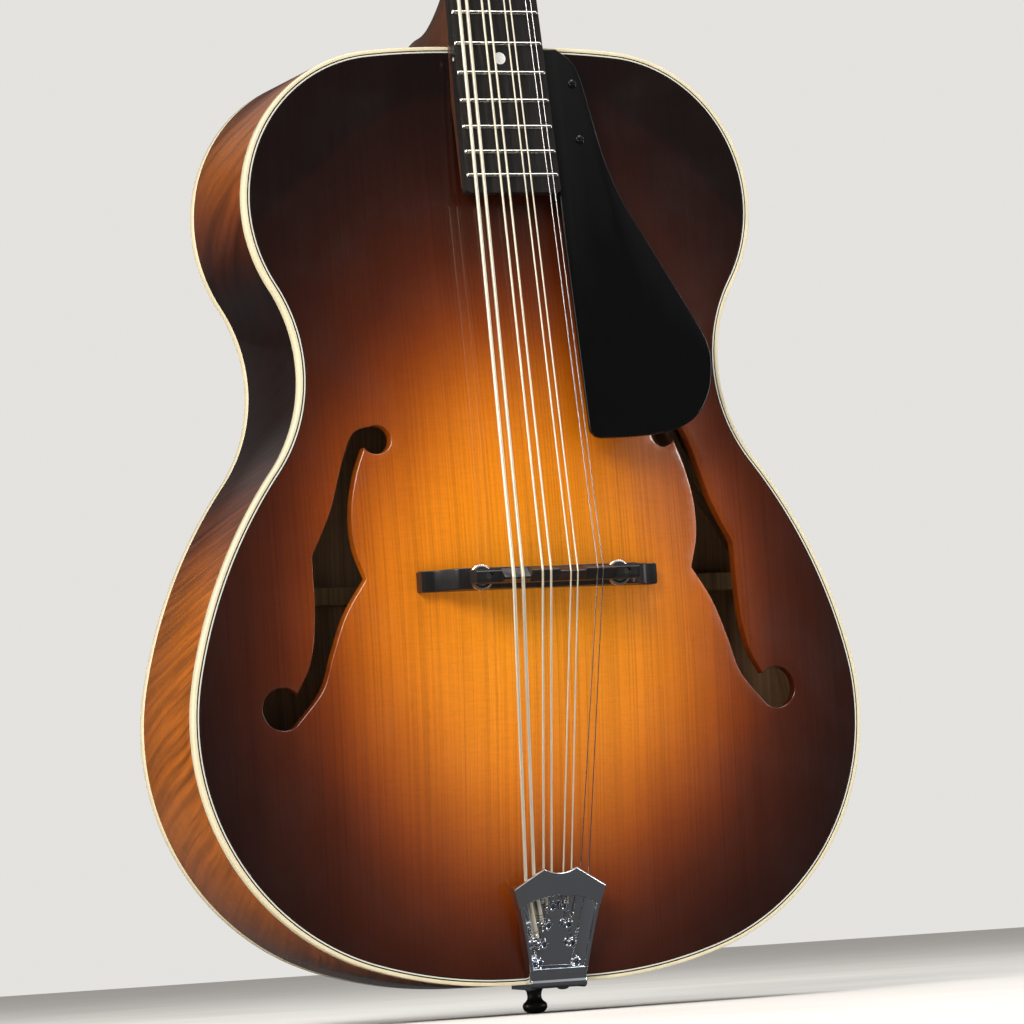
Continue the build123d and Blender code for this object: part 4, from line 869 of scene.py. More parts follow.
def inside(points, loop):
    """Which 2D points lie inside a closed loop."""
    xs, zs = points[:, 0], points[:, 1]
    found = np.zeros(len(points), bool)
    for a, b in zip(loop, loop[1:] + loop[:1]):
        if a.y != b.y:
            crosses = (a.y > zs) != (b.y > zs)
            found ^= crosses & (xs < (b.x - a.x) * (zs - a.y) / (b.y - a.y) + a.x)
    return found


def plate_faces(edge_loop, hole_loops, spacing):
    """Triangles that fill a plate between its edge and its holes: points, then index triples."""
    loops = [edge_loop, *hole_loops]
    points = [p for loop in loops for p in loop]
    tree = KDTree(len(points))
    for k, p in enumerate(points):
        tree.insert((*p, 0.0), k)
    tree.balance()
    rows = np.arange(-FILL_HALF_WIDTH, FILL_HALF_WIDTH, spacing)
    columns = np.arange(0.0, BODY_LENGTH, spacing * 0.866)
    grid = np.array([(x + (j % 2) * spacing / 2, z) for j, z in enumerate(columns) for x in rows])
    kept = inside(grid, edge_loop)
    for loop in hole_loops:
        kept &= ~inside(grid, loop)
    fillers = [Vector(p) for p in grid[kept] if tree.find((*p, 0.0))[2] > spacing * 0.55]
    edges = []
    start = 0
    for loop in loops:
        edges += [(start + k, start + (k + 1) % len(loop)) for k in range(len(loop))]
        start += len(loop)
    solved = delaunay_2d_cdt(points + fillers, edges, [], 0, 1e-7)
    corners, triangles = solved[0], solved[2]
    centres = np.array([sum((corners[k] for k in t), Vector((0, 0))) / 3 for t in triangles])
    wanted = inside(centres, edge_loop)
    for loop in hole_loops:
        wanted &= ~inside(centres, loop)
    return corners, [t for t, keep in zip(triangles, wanted) if keep]


def plate_outline(inset, notch):
    """Anticlockwise edge of a plate, inset from the outline, with the neck's notch if it has one."""
    run = outline_run(PLATE_STEP, TENON_HALF_WIDTH) if notch else outline_ring(PLATE_STEP)
    loop = [Vector((x - inset * nx, z - inset * nz)) for x, z, nx, nz in run]
    if notch:
        shoulder = BODY_LENGTH - TENON_REACH
        loop += [Vector((-TENON_HALF_WIDTH, shoulder)), Vector((TENON_HALF_WIDTH, shoulder))]
    return anticlockwise(loop)


def carved_plate(bm, edge_loop, hole_loops, base_y, outward, rise, spacing, edge):
    """A carved plate of even thickness: outward is -1 for a top and +1 for a back."""

    def surface(point, below):
        """Row position of a plan point, this far below the show face."""
        height = arch_height(point.x, point.y, rise) - below
        return Vector((point.x, base_y + outward * height, point.y))

    steps = rounded_edge(edge, 3)
    widened_holes = [offset_loop(loop, -edge) for loop in hole_loops]
    corners, triangles = plate_faces(edge_loop, widened_holes, spacing)
    show = [bm.verts.new(surface(p, 0.0)) for p in corners]
    hidden = [bm.verts.new(surface(p, PLATE_THICKNESS)) for p in corners]
    for a, b, c in triangles:
        bm.faces.new((show[a], show[b], show[c]))
        bm.faces.new((hidden[c], hidden[b], hidden[a])).material_index = 1
    finder = KDTree(len(corners))
    for k, p in enumerate(corners):
        finder.insert((*p, 0.0), k)
    finder.balance()
    for loop, holed in [(edge_loop, False)] + [(h, True) for h in hole_loops]:
        order = [finder.find((*p, 0.0))[1] for p in (offset_loop(loop, -edge) if holed else loop)]
        rows = [[show[k] for k in order]]
        if holed:
            for inset, drop in steps[1:]:
                rows.append([bm.verts.new(surface(p, drop)) for p in offset_loop(loop, -inset)])
            wall_end = PLATE_THICKNESS - 0.1 * MM
            rows.append([bm.verts.new(surface(p, wall_end)) for p in loop])
        rows.append([hidden[k] for k in order])
        for upper, lower in zip(rows, rows[1:]):
            for k in range(len(upper)):
                n = (k + 1) % len(upper)
                bm.faces.new((upper[k], upper[n], lower[n], lower[k]))


def rounded_box(inset_a, inset_b, y_a, y_b, edge):
    """Profile (inset, y) of a strip with rounded corners."""
    low, high = min(y_a, y_b), max(y_a, y_b)
    corners = [
        (inset_a + edge, low + edge, math.pi),
        (inset_b - edge, low + edge, 1.5 * math.pi),
        (inset_b - edge, high - edge, 0.0),
        (inset_a + edge, high - edge, 0.5 * math.pi),
    ]
    profile = []
    for centre_inset, centre_y, start in corners:
        for k in range(4):
            angle = start + math.pi / 2 * k / 3
            spoke_y = centre_y + edge * math.sin(angle)
            profile.append((centre_inset + edge * math.cos(angle), spoke_y))
    return profile


def sweep_edge(bm, run, profile, closed=False):
    """A strip that follows the body's outline."""
    rings = [
        [Vector((x - inset * nx, y, z - inset * nz)) for inset, y in profile] for x, z, nx, nz in run
    ]
    bridge_rings(bm, rings, closed_path=closed)


# ---- strings --------------------------------------------------------------------------------
def string_layout():
    """Every string's radius, course, side, rank and the points that it runs through."""
    found = []
    for index, (course, (radius, gaps, centres, compensation)) in enumerate(COURSES.items()):
        for member in range(2):
            side = -1 if member == 0 else 1
            tail_x, saddle_x, nut_x = [(c + side * g / 2) * MM for c, g in zip(centres, gaps)]
            hand = -1 if index < 2 else 1
            rank = index * 2 + member if hand < 0 else 7 - (index * 2 + member)
            peg_x, peg_v = [value * MM for value in PEG_ROWS[rank]]
            r = radius * MM
            saddle_y = FRONT_Y - STRING_HEIGHT_AT_BRIDGE - r
            post_x = hand * (POST_X - POST_RADIUS - r - WINDING_GAP)
            found.append(
                {
                    "course": course,
                    "radius": r,
                    "hand": hand,
                    "rank": rank,
                    "number": rank + (5 if hand > 0 else 1),
                    "peg": Vector((hand * peg_x, peg_v, PEG_LOOP_DEPTH)),
                    "crown": TAIL @ Vector((tail_x, CROWN_SLOT_V, CROWN_SLOT_DEPTH)),
                    "saddle": Vector((saddle_x, saddle_y, BRIDGE_Z + compensation * MM)),
                    "nut": BOARD @ Vector((nut_x, 1.0 * MM, 1.35 * MM + r)),
                    "post": HEAD @ Vector((post_x, POST_V[rank], WINDING_START)),
                }
            )
    return found


def knuckle(before, bend, after, reach):
    """A short smooth bend in a string where it leans over an edge."""
    near = bend + (before - bend).normalized() * reach
    far = bend + (after - bend).normalized() * reach
    entering = near.lerp(bend, 0.55) + (far - bend) * 0.06
    leaving = far.lerp(bend, 0.55) + (near - bend) * 0.06
    return [near, entering, leaving, far]


# ---- user values ----------------------------------------------------------------------------
class MandocelloShape(bpy.types.PropertyGroup):
    """Sizes of the carved, turned and wound pieces"""

    top_rise: FloatProperty(
        name="Top arch", description="Rise of the carved top", default=TOP_RISE, unit="LENGTH"
    )
    back_rise: FloatProperty(
        name="Back arch", description="Rise of the carved back", default=BACK_RISE, unit="LENGTH"
    )
    plate_spacing: FloatProperty(
        name="Carving mesh",
        description="Distance between points on the plates", default=0.0042, unit="LENGTH"
    )
    f_hole_edge: FloatProperty(
        name="F-hole edge", description="Rounding of the f-holes' edges", default=0.0006, unit="LENGTH"
    )
    binding_edge: FloatProperty(
        name="Binding edge", description="Rounding of the bindings' corners", default=0.0005, unit="LENGTH"
    )
    fret_width: FloatProperty(
        name="Fret width", description="Width of a fret's crown", default=0.0022, unit="LENGTH"
    )
    fret_height: FloatProperty(
        name="Fret height", description="Height of a fret", default=0.00115, unit="LENGTH"
    )
    guard_edge: FloatProperty(
        name="Pickguard edge", description="Bevel round the pickguard", default=0.0009, unit="LENGTH"
    )
    knurl_teeth: IntProperty(name="Knurl teeth", description="Teeth round a thumbwheel", default=44)
    thread_pitch: FloatProperty(
        name="Stud thread",
        description="Rise of the bridge studs' thread in a turn", default=0.0007, unit="LENGTH"
    )


class MandocelloColours(bpy.types.PropertyGroup):
    """Colours of the finishes"""

    burst_middle: FloatVectorProperty(
        name="Burst middle",
        description="Glowing middle of the top",
        subtype="COLOR",
        default=(0.92, 0.33, 0.006),
    )
    burst_glow: FloatVectorProperty(
        name="Burst glow",
        description="Amber round the middle",
        subtype="COLOR",
        default=(0.84, 0.235, 0.004),
    )
    burst_red: FloatVectorProperty(
        name="Burst red",
        description="Red-brown band of the burst",
        subtype="COLOR",
        default=(0.27, 0.042, 0.002),
    )
    burst_brown: FloatVectorProperty(
        name="Burst brown",
        description="Dark brown of the burst",
        subtype="COLOR",
        default=(0.038, 0.0062, 0.0020),
    )
    burst_edge: FloatVectorProperty(
        name="Burst edge",
        description="Nearly black edge",
        subtype="COLOR",
        default=(0.0072, 0.0022, 0.0017),
    )
    maple_amber: FloatVectorProperty(
        name="Maple amber",
        description="Light maple of the ribs and back",
        subtype="COLOR",
        default=(0.46, 0.125, 0.008),
    )
    maple_brown: FloatVectorProperty(
        name="Maple brown",
        description="Brown maple of the ribs and back",
        subtype="COLOR",
        default=(0.21, 0.045, 0.008),
    )
    neck_brown: FloatVectorProperty(
        name="Neck brown",
        description="Stain of the neck",
        subtype="COLOR",
        default=(0.11, 0.034, 0.012),
    )
    binding_cream: FloatVectorProperty(
        name="Binding cream",
        description="Bindings round the body",
        subtype="COLOR",
        default=(0.78, 0.70, 0.48),
    )
    ebony: FloatVectorProperty(
        name="Ebony",
        description="Fingerboard, bridge and end pin",
        subtype="COLOR",
        default=(0.016, 0.0145, 0.0145),
    )
    wrap_wire: FloatVectorProperty(
        name="Wrap wire",
        description="Winding of the lower strings",
        subtype="COLOR",
        default=(0.98, 0.90, 0.72),
    )


class MandocelloStage(bpy.types.PropertyGroup):
    """Camera and light"""

    camera_side: FloatProperty(
        name="Camera side",
        description="Angle of the camera round the body",
        subtype="ANGLE",
        default=math.radians(-23.23),
    )
    camera_rise: FloatProperty(
        name="Camera rise",
        description="Angle of the camera above level",
        subtype="ANGLE",
        default=math.radians(-4.81),
    )
    camera_roll: FloatProperty(
        name="Camera roll", description="Roll of the camera", default=math.radians(-3.82), subtype="ANGLE"
    )
    camera_distance: FloatProperty(
        name="Camera distance", description="Camera to the point it looks at", default=2.649, unit="LENGTH"
    )
    look_at: FloatVectorProperty(
        name="Look at",
        description="Point that the camera looks at",
        subtype="TRANSLATION",
        default=(-0.0056, -0.026, 0.2415),
    )
    lens: FloatProperty(name="Lens", description="Focal length in millimetres", default=181.5)
    key_power: FloatProperty(
        name="Key light", description="Power of the large soft light", default=80.0, unit="POWER"
    )
    side_power: FloatProperty(
        name="Side light", description="Power of the light on the ribs", default=26.0, unit="POWER"
    )
    top_power: FloatProperty(
        name="Top light", description="Power of the light overhead", default=34.0, unit="POWER"
    )
    strip_power: FloatProperty(
        name="Strip light",
        description="Power of the narrow light that edges the metal",
        default=7.0,
        unit="POWER",
    )
    air_light: FloatProperty(name="Air light", description="Strength of the light all round", default=0.42)


# ---- operators ------------------------------------------------------------------------------
class MANDOCELLO_OT_finishes(bpy.types.Operator):
    """Make the shader groups and the finishes"""

    bl_idname = "mandocello.finishes"
    bl_label = "Finishes"

    def execute(self, context):
        make_finishes(context.scene.mandocello_colours)
        return {"FINISHED"}


class MANDOCELLO_OT_plates(bpy.types.Operator):
    """Carve the top with its f-holes, and the back"""

    bl_idname = "mandocello.plates"
    bl_label = "Carved Plates"

    def execute(self, context):
        shape = context.scene.mandocello_shape
        bm = bmesh.new()
        carved_plate(
            bm,
            plate_outline(TOP_INSET, True),
            [f_hole(-1), f_hole(1)],
            FRONT_Y,
            -1,
            shape.top_rise,
            shape.plate_spacing,
            shape.f_hole_edge,
        )
        top = piece("carved_top", bm, "spruce_top", stands_for=["top_plate"], sharp=50.0)
        top.data.materials.append(bpy.data.materials["inner_spruce"])
        bm = bmesh.new()
        back_edge = plate_outline(BINDING_WIDTH, False)
        carved_plate(bm, back_edge, [], BACK_Y, 1, shape.back_rise, shape.plate_spacing, shape.f_hole_edge)
        back = piece("carved_back", bm, "maple_back", stands_for=["back_plate"], sharp=50.0)
        back.data.materials.append(bpy.data.materials["inner_wood"])
        return {"FINISHED"}


class MANDOCELLO_OT_sides(bpy.types.Operator):
    """Bend the ribs, bindings and purfling round the outline, and dress the inner woodwork"""

    bl_idname = "mandocello.sides"
    bl_label = "Ribs and Bindings"

    def execute(self, context):
        edge = context.scene.mandocello_shape.binding_edge
        step = 2.4 * MM
        run = outline_run(step, TENON_HALF_WIDTH)
        middle = len(run) // 2
        rib_front = FRONT_Y + PLATE_THICKNESS
        rib_back = BACK_Y - PLATE_THICKNESS
        rib = rounded_box(0.0, RIB_THICKNESS, rib_front, rib_back, 0.1 * MM)
        for side, samples in (("treble", run[: middle + 1]), ("bass", run[middle:])):
            bm = bmesh.new()
            sweep_edge(bm, samples, rib)
            piece(f"bent_rib_{side}", bm, "maple_ribs", stands_for=[f"rib_{side}"])
        bm = bmesh.new()
        sweep_edge(bm, run, rounded_box(0.0, BINDING_WIDTH, FRONT_Y, rib_front, edge))
        piece("front_binding", bm, "cream_binding", stands_for=["top_binding"])
        bm = bmesh.new()
        strip = rounded_box(0.0, BINDING_WIDTH, rib_back, BACK_Y, edge)
        sweep_edge(bm, outline_ring(step), strip, closed=True)
        piece("rear_binding", bm, "cream_binding", stands_for=["back_binding"])
        first = BINDING_WIDTH
        second = first + PURFLING_BLACK
        third = second + PURFLING_WHITE
        line_edge = 0.05 * MM
        bm = bmesh.new()
        for inner in (first, third):
            strip = rounded_box(inner, inner + PURFLING_BLACK, FRONT_Y, FRONT_Y + PURFLING_DEPTH, line_edge)
            sweep_edge(bm, run, strip)
        piece("purfling_black_lines", bm, "black_purfling", stands_for=["top_purfling_black"])
        bm = bmesh.new()
        sweep_edge(bm, run, rounded_box(second, third, FRONT_Y, FRONT_Y + PURFLING_DEPTH, line_edge))
        piece("purfling_white_line", bm, "white_purfling", stands_for=["top_purfling_white"])
        for node_name in ("neck_block", "tail_block", "lining_front", "lining_back"):
            dress(node_name, "inner_wood")
        for node_name in ("tone_bars", "back_brace"):
            dress(node_name, "inner_spruce")
        return {"FINISHED"}


class MANDOCELLO_OT_neck(bpy.types.Operator):
    """Dress the neck, heel cap, truss rod, headstock and fingerboard, and set the frets"""

    bl_idname = "mandocello.neck"
    bl_label = "Neck and Frets"

    def execute(self, context):
        shape = context.scene.mandocello_shape
        bm = bmesh.new()
        turns = [math.pi * k / 12 for k in range(13)]
        for number in range(1, FRET_COUNT + 1):
            distance = SCALE_LENGTH * (1 - 2 ** (-number / 12))
            reach = NUT_HALF_WIDTH + BOARD_TAPER * distance - 0.4 * MM
            stations = [(-1, 0.0, 0.15), (-1, 0.35, 0.62), (-1, 0.9, 0.93), (-1, 1.6, 1.0)]
            stations += [(1, inset, size) for _, inset, size in stations[::-1]]
            rings = []
            for side, inset, size in stations:
                x = side * (reach - inset * MM)
                half, tall = shape.fret_width / 2, shape.fret_height * size
                ring = [(x, -distance + half * math.cos(t), tall * math.sin(t)) for t in turns]
                rings.append([BOARD @ Vector(p) for p in ring])
            bridge_rings(bm, rings)
        piece("fret_wires", bm, "nickel_silver", stands_for=["frets"], sharp=60.0)
        for node_name, finish in (
            ("neck", "neck_maple"),
            ("heel_cap", "ebony"),
            ("truss_rod", "rod_steel"),
            ("truss_rod_nut", "brass"),
            ("position_dots", "pearl"),
            ("fretboard", "ebony"),
            ("nut", "bone"),
            ("headstock_veneer", "headstock_black"),
            ("truss_rod_cover", "black_plastic"),
        ):
            dress(node_name, finish)
        return {"FINISHED"}


class MANDOCELLO_OT_strings(bpy.types.Operator):
    """Run the eight strings from their tailpiece pegs over the bridge and nut to the posts"""

    bl_idname = "mandocello.strings"
    bl_label = "Strings"

    def execute(self, context):
        layout = string_layout()
        for course in COURSES:
            finish = "plain_string" if course == "a" else "wound_string"
            members = [s for s in layout if s["course"] == course]
            lower = bmesh.new()
            upper = bmesh.new()
            for line in members:
                r = line["radius"]
                twist_end = TAIL @ (line["peg"] + Vector((0, TWIST_REACH, 0)))
                twist_end = twist_end.lerp(line["crown"], 0.12)
                below = line["saddle"] + (line["crown"] - line["saddle"]).normalized() * 1.5 * MM
                above = line["saddle"] + (line["nut"] - line["saddle"]).normalized() * 1.5 * MM
                path = spaced(twist_end, line["crown"], 6 * MM) + spaced(line["crown"], below, 12 * MM)
                tube(lower, path + [below, line["saddle"].lerp(below, 0.3), line["saddle"]], r)
                path = [line["saddle"], line["saddle"].lerp(above, 0.3)] + spaced(above, line["nut"], 20 * MM)
                path += knuckle(above, line["nut"], line["post"], 1.2 * MM)
                tube(upper, path + spaced(path[-1], line["post"], 12 * MM)[1:] + [line["post"]], r)
            made = piece(f"strings_{course}_tail_side", lower, finish, None, [f"strings_{course}"])
            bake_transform(made)
            made = piece(f"strings_{course}_neck_side", upper, finish, None, [f"strings_{course}"])
            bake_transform(made)
        for line in layout:
            self.wind_on_post(line)
        self.tie_to_pegs(layout)
        return {"FINISHED"}

    def wind_on_post(self, line):
        """Turns of string on one post, up to its hole."""
        r = line["radius"]
        ring = POST_RADIUS + r + WINDING_GAP
        rise = 2 * r + 0.04 * MM
        turns = WINDING_HEIGHT / rise
        steps = round(turns * 30)
        centre = Vector((line["hand"] * POST_X, POST_V[line["rank"]], WINDING_START))
        path = []
        for k in range(steps + 1):
            angle = 2 * math.pi * turns * k / steps
            x = -line["hand"] * ring * math.cos(angle)
            path.append(HEAD @ (centre + Vector((x, ring * math.sin(angle), rise * turns * k / steps))))
        inward = HEAD @ (centre + Vector((0, 0, rise * turns + 0.3 * MM)))
        path.append(path[-1].lerp(inward, 0.5))
        bm = bmesh.new()
        tube(bm, path, r)
        finish = "plain_string" if line["course"] == "a" else "wound_string"
        piece(f"string_winding_{line['number']}", bm, finish, f"post_{line['number']}")

    def tie_to_pegs(self, layout):
        """Loop of core wire round each peg and its twist up to the string."""
        bm = bmesh.new()
        wire = CORE_WIRE_RADIUS
        for line in layout:
            peg = line["peg"]
            ring = PEG_RADIUS + wire + 0.04 * MM
            knot = peg + Vector((0, 6.2 * MM, 0))
            around = [math.radians(14 * k - 140) for k in range(21)]
            bottom = [peg + Vector((ring * math.sin(a), -ring * math.cos(a), 0)) for a in around]
            tube(bm, [TAIL @ p for p in [knot, *bottom, knot]], wire, 8)
            start = TAIL @ knot
            goal = (TAIL @ (peg + Vector((0, TWIST_REACH, 0)))).lerp(line["crown"], 0.12)
            goal = goal + (line["crown"] - goal).normalized() * 4.0 * MM
            axis = (goal - start).normalized()
            side = axis.orthogonal().normalized()
            other = axis.cross(side)
            swell = line["radius"] + wire
            path = []
            twists, steps = 7, 96
            for k in range(steps + 1):
                share = k / steps
                angle = 2 * math.pi * twists * share
                reach = wire + (swell - wire) * min(1.0, share * 2.5)
                around_axis = (side * math.cos(angle) + other * math.sin(angle)) * reach
                path.append(start.lerp(goal, share) + around_axis)
            tube(bm, path, wire, 6)
        piece("string_loops", bm, "plain_string")


class MANDOCELLO_OT_bridge(bpy.types.Operator):
    """Shape the bridge base and its compensated saddle, and turn the studs and thumbwheels"""

    bl_idname = "mandocello.bridge"
    bl_label = "Bridge"

    BASE_TOP = 27.2
    BASE_HALF = 65.4
    BASE_CLEARANCE = 0.1
    SADDLE_FLOOR = 32.2
    WHEEL_FLOOR = 29.0
    STUD_BORE = 2.05
    TOOTH_DEPTH = 0.22
    FACET_ANGLE = 14.0

    def base_height(self, x):
        """Top of the base, in millimetres above the rim."""
        reach = abs(x)
        if reach <= 29.0:
            return 24.2 + 3.0 * math.sin(math.pi / 2 * reach / 29.0) ** 2
        if reach <= 47.5:
            return self.BASE_TOP
        fall = min((reach - 47.5) / 12.5, 1.0)
        return self.BASE_TOP - 9.2 * math.sin(math.pi / 2 * fall) ** 1.6

    def base_ring(self, x, squeeze, rise):
        """Rounded section of the base across its width, fitted to the arch."""
        half = 5.4 * squeeze
        top = self.base_height(x) - 0.6 * (1 - squeeze)
        edge = 0.7
        ring = []
        for z_mm, start in ((-half + edge, math.pi), (half - edge, math.pi / 2)):
            for k in range(5):
                angle = start - math.pi / 2 * k / 4
                ring.append((z_mm + edge * math.cos(angle), top - edge + edge * math.sin(angle)))
        for z_mm in (half, half / 3, -half / 3, -half):
            spot = BRIDGE_Z + z_mm * MM
            ring.append((z_mm, arch_height(x * MM, spot, rise) / MM + self.BASE_CLEARANCE))
        return [BRIDGE @ (Vector((x, z_mm, height)) * MM) for z_mm, height in ring]

    def saddle_crest(self, x):
        """Height and Z of the saddle's ridge at one place along it, in millimetres."""
        reach = abs(x)
        crest = STRING_HEIGHT_AT_BRIDGE / MM + 0.3
        if reach > 31.0:
            crest = 42.4 - 0.7 * (reach - 31.0) / 14.0
        spans = [(-31.0, -16.5, -1.6), (-15.5, -0.8, 1.4), (0.2, 13.8, 0.4), (14.8, 31.0, 1.4)]
        ridge = 0.0
        for low, high, compensation in spans:
            if low <= x <= high:
                ridge = compensation
        return crest, ridge

    def saddle_ring(self, x, squeeze):
        """Section of the saddle: upright sides, then two facets up to the ridge."""
        crest, ridge = self.saddle_crest(x)
        half = 3.6 * squeeze
        floor = self.SADDLE_FLOOR + 0.5 * (1 - squeeze)
        shoulder = 39.6
        tip = 0.7
        if crest < 43.0:
            tip = 2.4
            shoulder = crest - 0.7
        section = [
            (-half + 0.4, floor),
            (half - 0.4, floor),
            (half, floor + 0.4),
            (half, shoulder),
            (ridge * squeeze + tip, crest - 0.25),
            (ridge * squeeze + tip - 0.35, crest),
            (ridge * squeeze - tip + 0.35, crest),
            (ridge * squeeze - tip, crest - 0.25),
            (-half, shoulder),
            (-half, floor + 0.4),
        ]
        return [BRIDGE @ (Vector((x, z_mm, height)) * MM) for z_mm, height in section]

    def execute(self, context):
        shape = context.scene.mandocello_shape
        bm = bmesh.new()
        inner = [-64.8 + 129.6 * k / 72 for k in range(73)]
        rise = shape.top_rise
        rings = [self.base_ring(-self.BASE_HALF, 0.9, rise)]
        rings += [self.base_ring(x, 1.0, rise) for x in inner]
        bridge_rings(bm, rings + [self.base_ring(self.BASE_HALF, 0.9, rise)])
        piece("carved_bridge_base", bm, "ebony", stands_for=["bridge_base"])

        bm = bmesh.new()
        marks = [-44.5, -43.5, -41.0, -35.0, -31.3, -30.9, -26.0, -21.0, -16.6, -15.4, -10.0, -5.0]
        marks += [-0.9, 0.3, 5.0, 10.0, 13.7, 14.9, 19.0, 25.0, 30.9, 31.3, 35.0, 41.0, 43.5, 44.5]
        rings = [self.saddle_ring(-45.0, 0.86), *[self.saddle_ring(x, 1.0) for x in marks]]
        bridge_rings(bm, rings + [self.saddle_ring(45.0, 0.86)])
        saddle = piece("carved_saddle", bm, "ebony", "saddle", ["bridge_saddle"], self.FACET_ANGLE)
        cutter = bmesh.new()
        for side in (-1, 1):
            hole = along(BRIDGE @ Vector((side * THUMBWHEEL_X, 0, 30.0 * MM)), (0, -1, 0))
            bore = self.STUD_BORE * MM
            turned(cutter, hole, [(bore, 0.0), (bore, 20 * MM)], 36)
        cut_away(saddle, cutter)
        cutter = bmesh.new()
        for line in string_layout():
            r = line["radius"] + 0.05 * MM
            seat = line["saddle"]
            tube(cutter, [seat.lerp(line["crown"], 0.03), seat, seat.lerp(line["nut"], 0.01)], r, 12)
        cut_away(saddle, cutter)
        saddle.data.shade_smooth()
        saddle.data.set_sharp_from_angle(angle=math.radians(self.FACET_ANGLE))

        def thread(radius, height, angle):
            """Screw thread: the radius rises and falls once in each turn's pitch."""
            phase = (height / shape.thread_pitch - angle / (2 * math.pi)) % 1.0
            return radius - self.TOOTH_DEPTH * MM * abs(2 * phase - 1)

        def knurl(radius, height, angle):
            """Coin-edge knurl on the rim of a thumbwheel."""
            if radius < 6.0 * MM:
                return radius
            return radius - self.TOOTH_DEPTH * MM * (0.5 + 0.5 * math.cos(angle * shape.knurl_teeth))

        bm = bmesh.new()
        foot, tip = 18.5 * MM, 40.5 * MM
        steps = 170
        for side in (-1, 1):
            at = along(BRIDGE @ Vector((side * THUMBWHEEL_X, 0, 0)), (0, -1, 0))
            profile = [(2.0 * MM, foot + (tip - foot) * k / steps) for k in range(steps + 1)]
            turned(bm, at, profile + [(1.5 * MM, tip + 0.01 * MM)], 24, thread)
        piece("threaded_studs", bm, "nickel", stands_for=["bridge_studs"])
        for side, side_name in ((-1, "bass"), (1, "treble")):
            bm = bmesh.new()
            at = along(BRIDGE @ Vector((side * THUMBWHEEL_X, 0, self.WHEEL_FLOOR * MM)), (0, -1, 0))
            wheel = [(2.1, 0.0), (5.6, 0.0), (6.1, 0.15), (6.6, 0.5), (6.6, 2.5), (6.1, 2.85)]
            wheel += [(5.4, 3.0), (5.0, 2.8), (3.4, 2.8), (3.0, 3.0), (2.1, 3.0)]
            rings = []
            count = shape.knurl_teeth * 4
            for radius, height in wheel:
                turns = [2 * math.pi * k / count for k in range(count)]
                reaches = [(t, knurl(radius * MM, 0.0, t)) for t in turns]
                ring = [(r * math.cos(t), r * math.sin(t), height * MM) for t, r in reaches]
                rings.append([at @ Vector(p) for p in ring])
            bridge_rings(bm, rings, closed_path=True)
            body, node_name = f"wheel_{side_name}", f"thumbwheel_{side_name}"
            piece(f"knurled_wheel_{side_name}", bm, "nickel", body, [node_name])
        return {"FINISHED"}


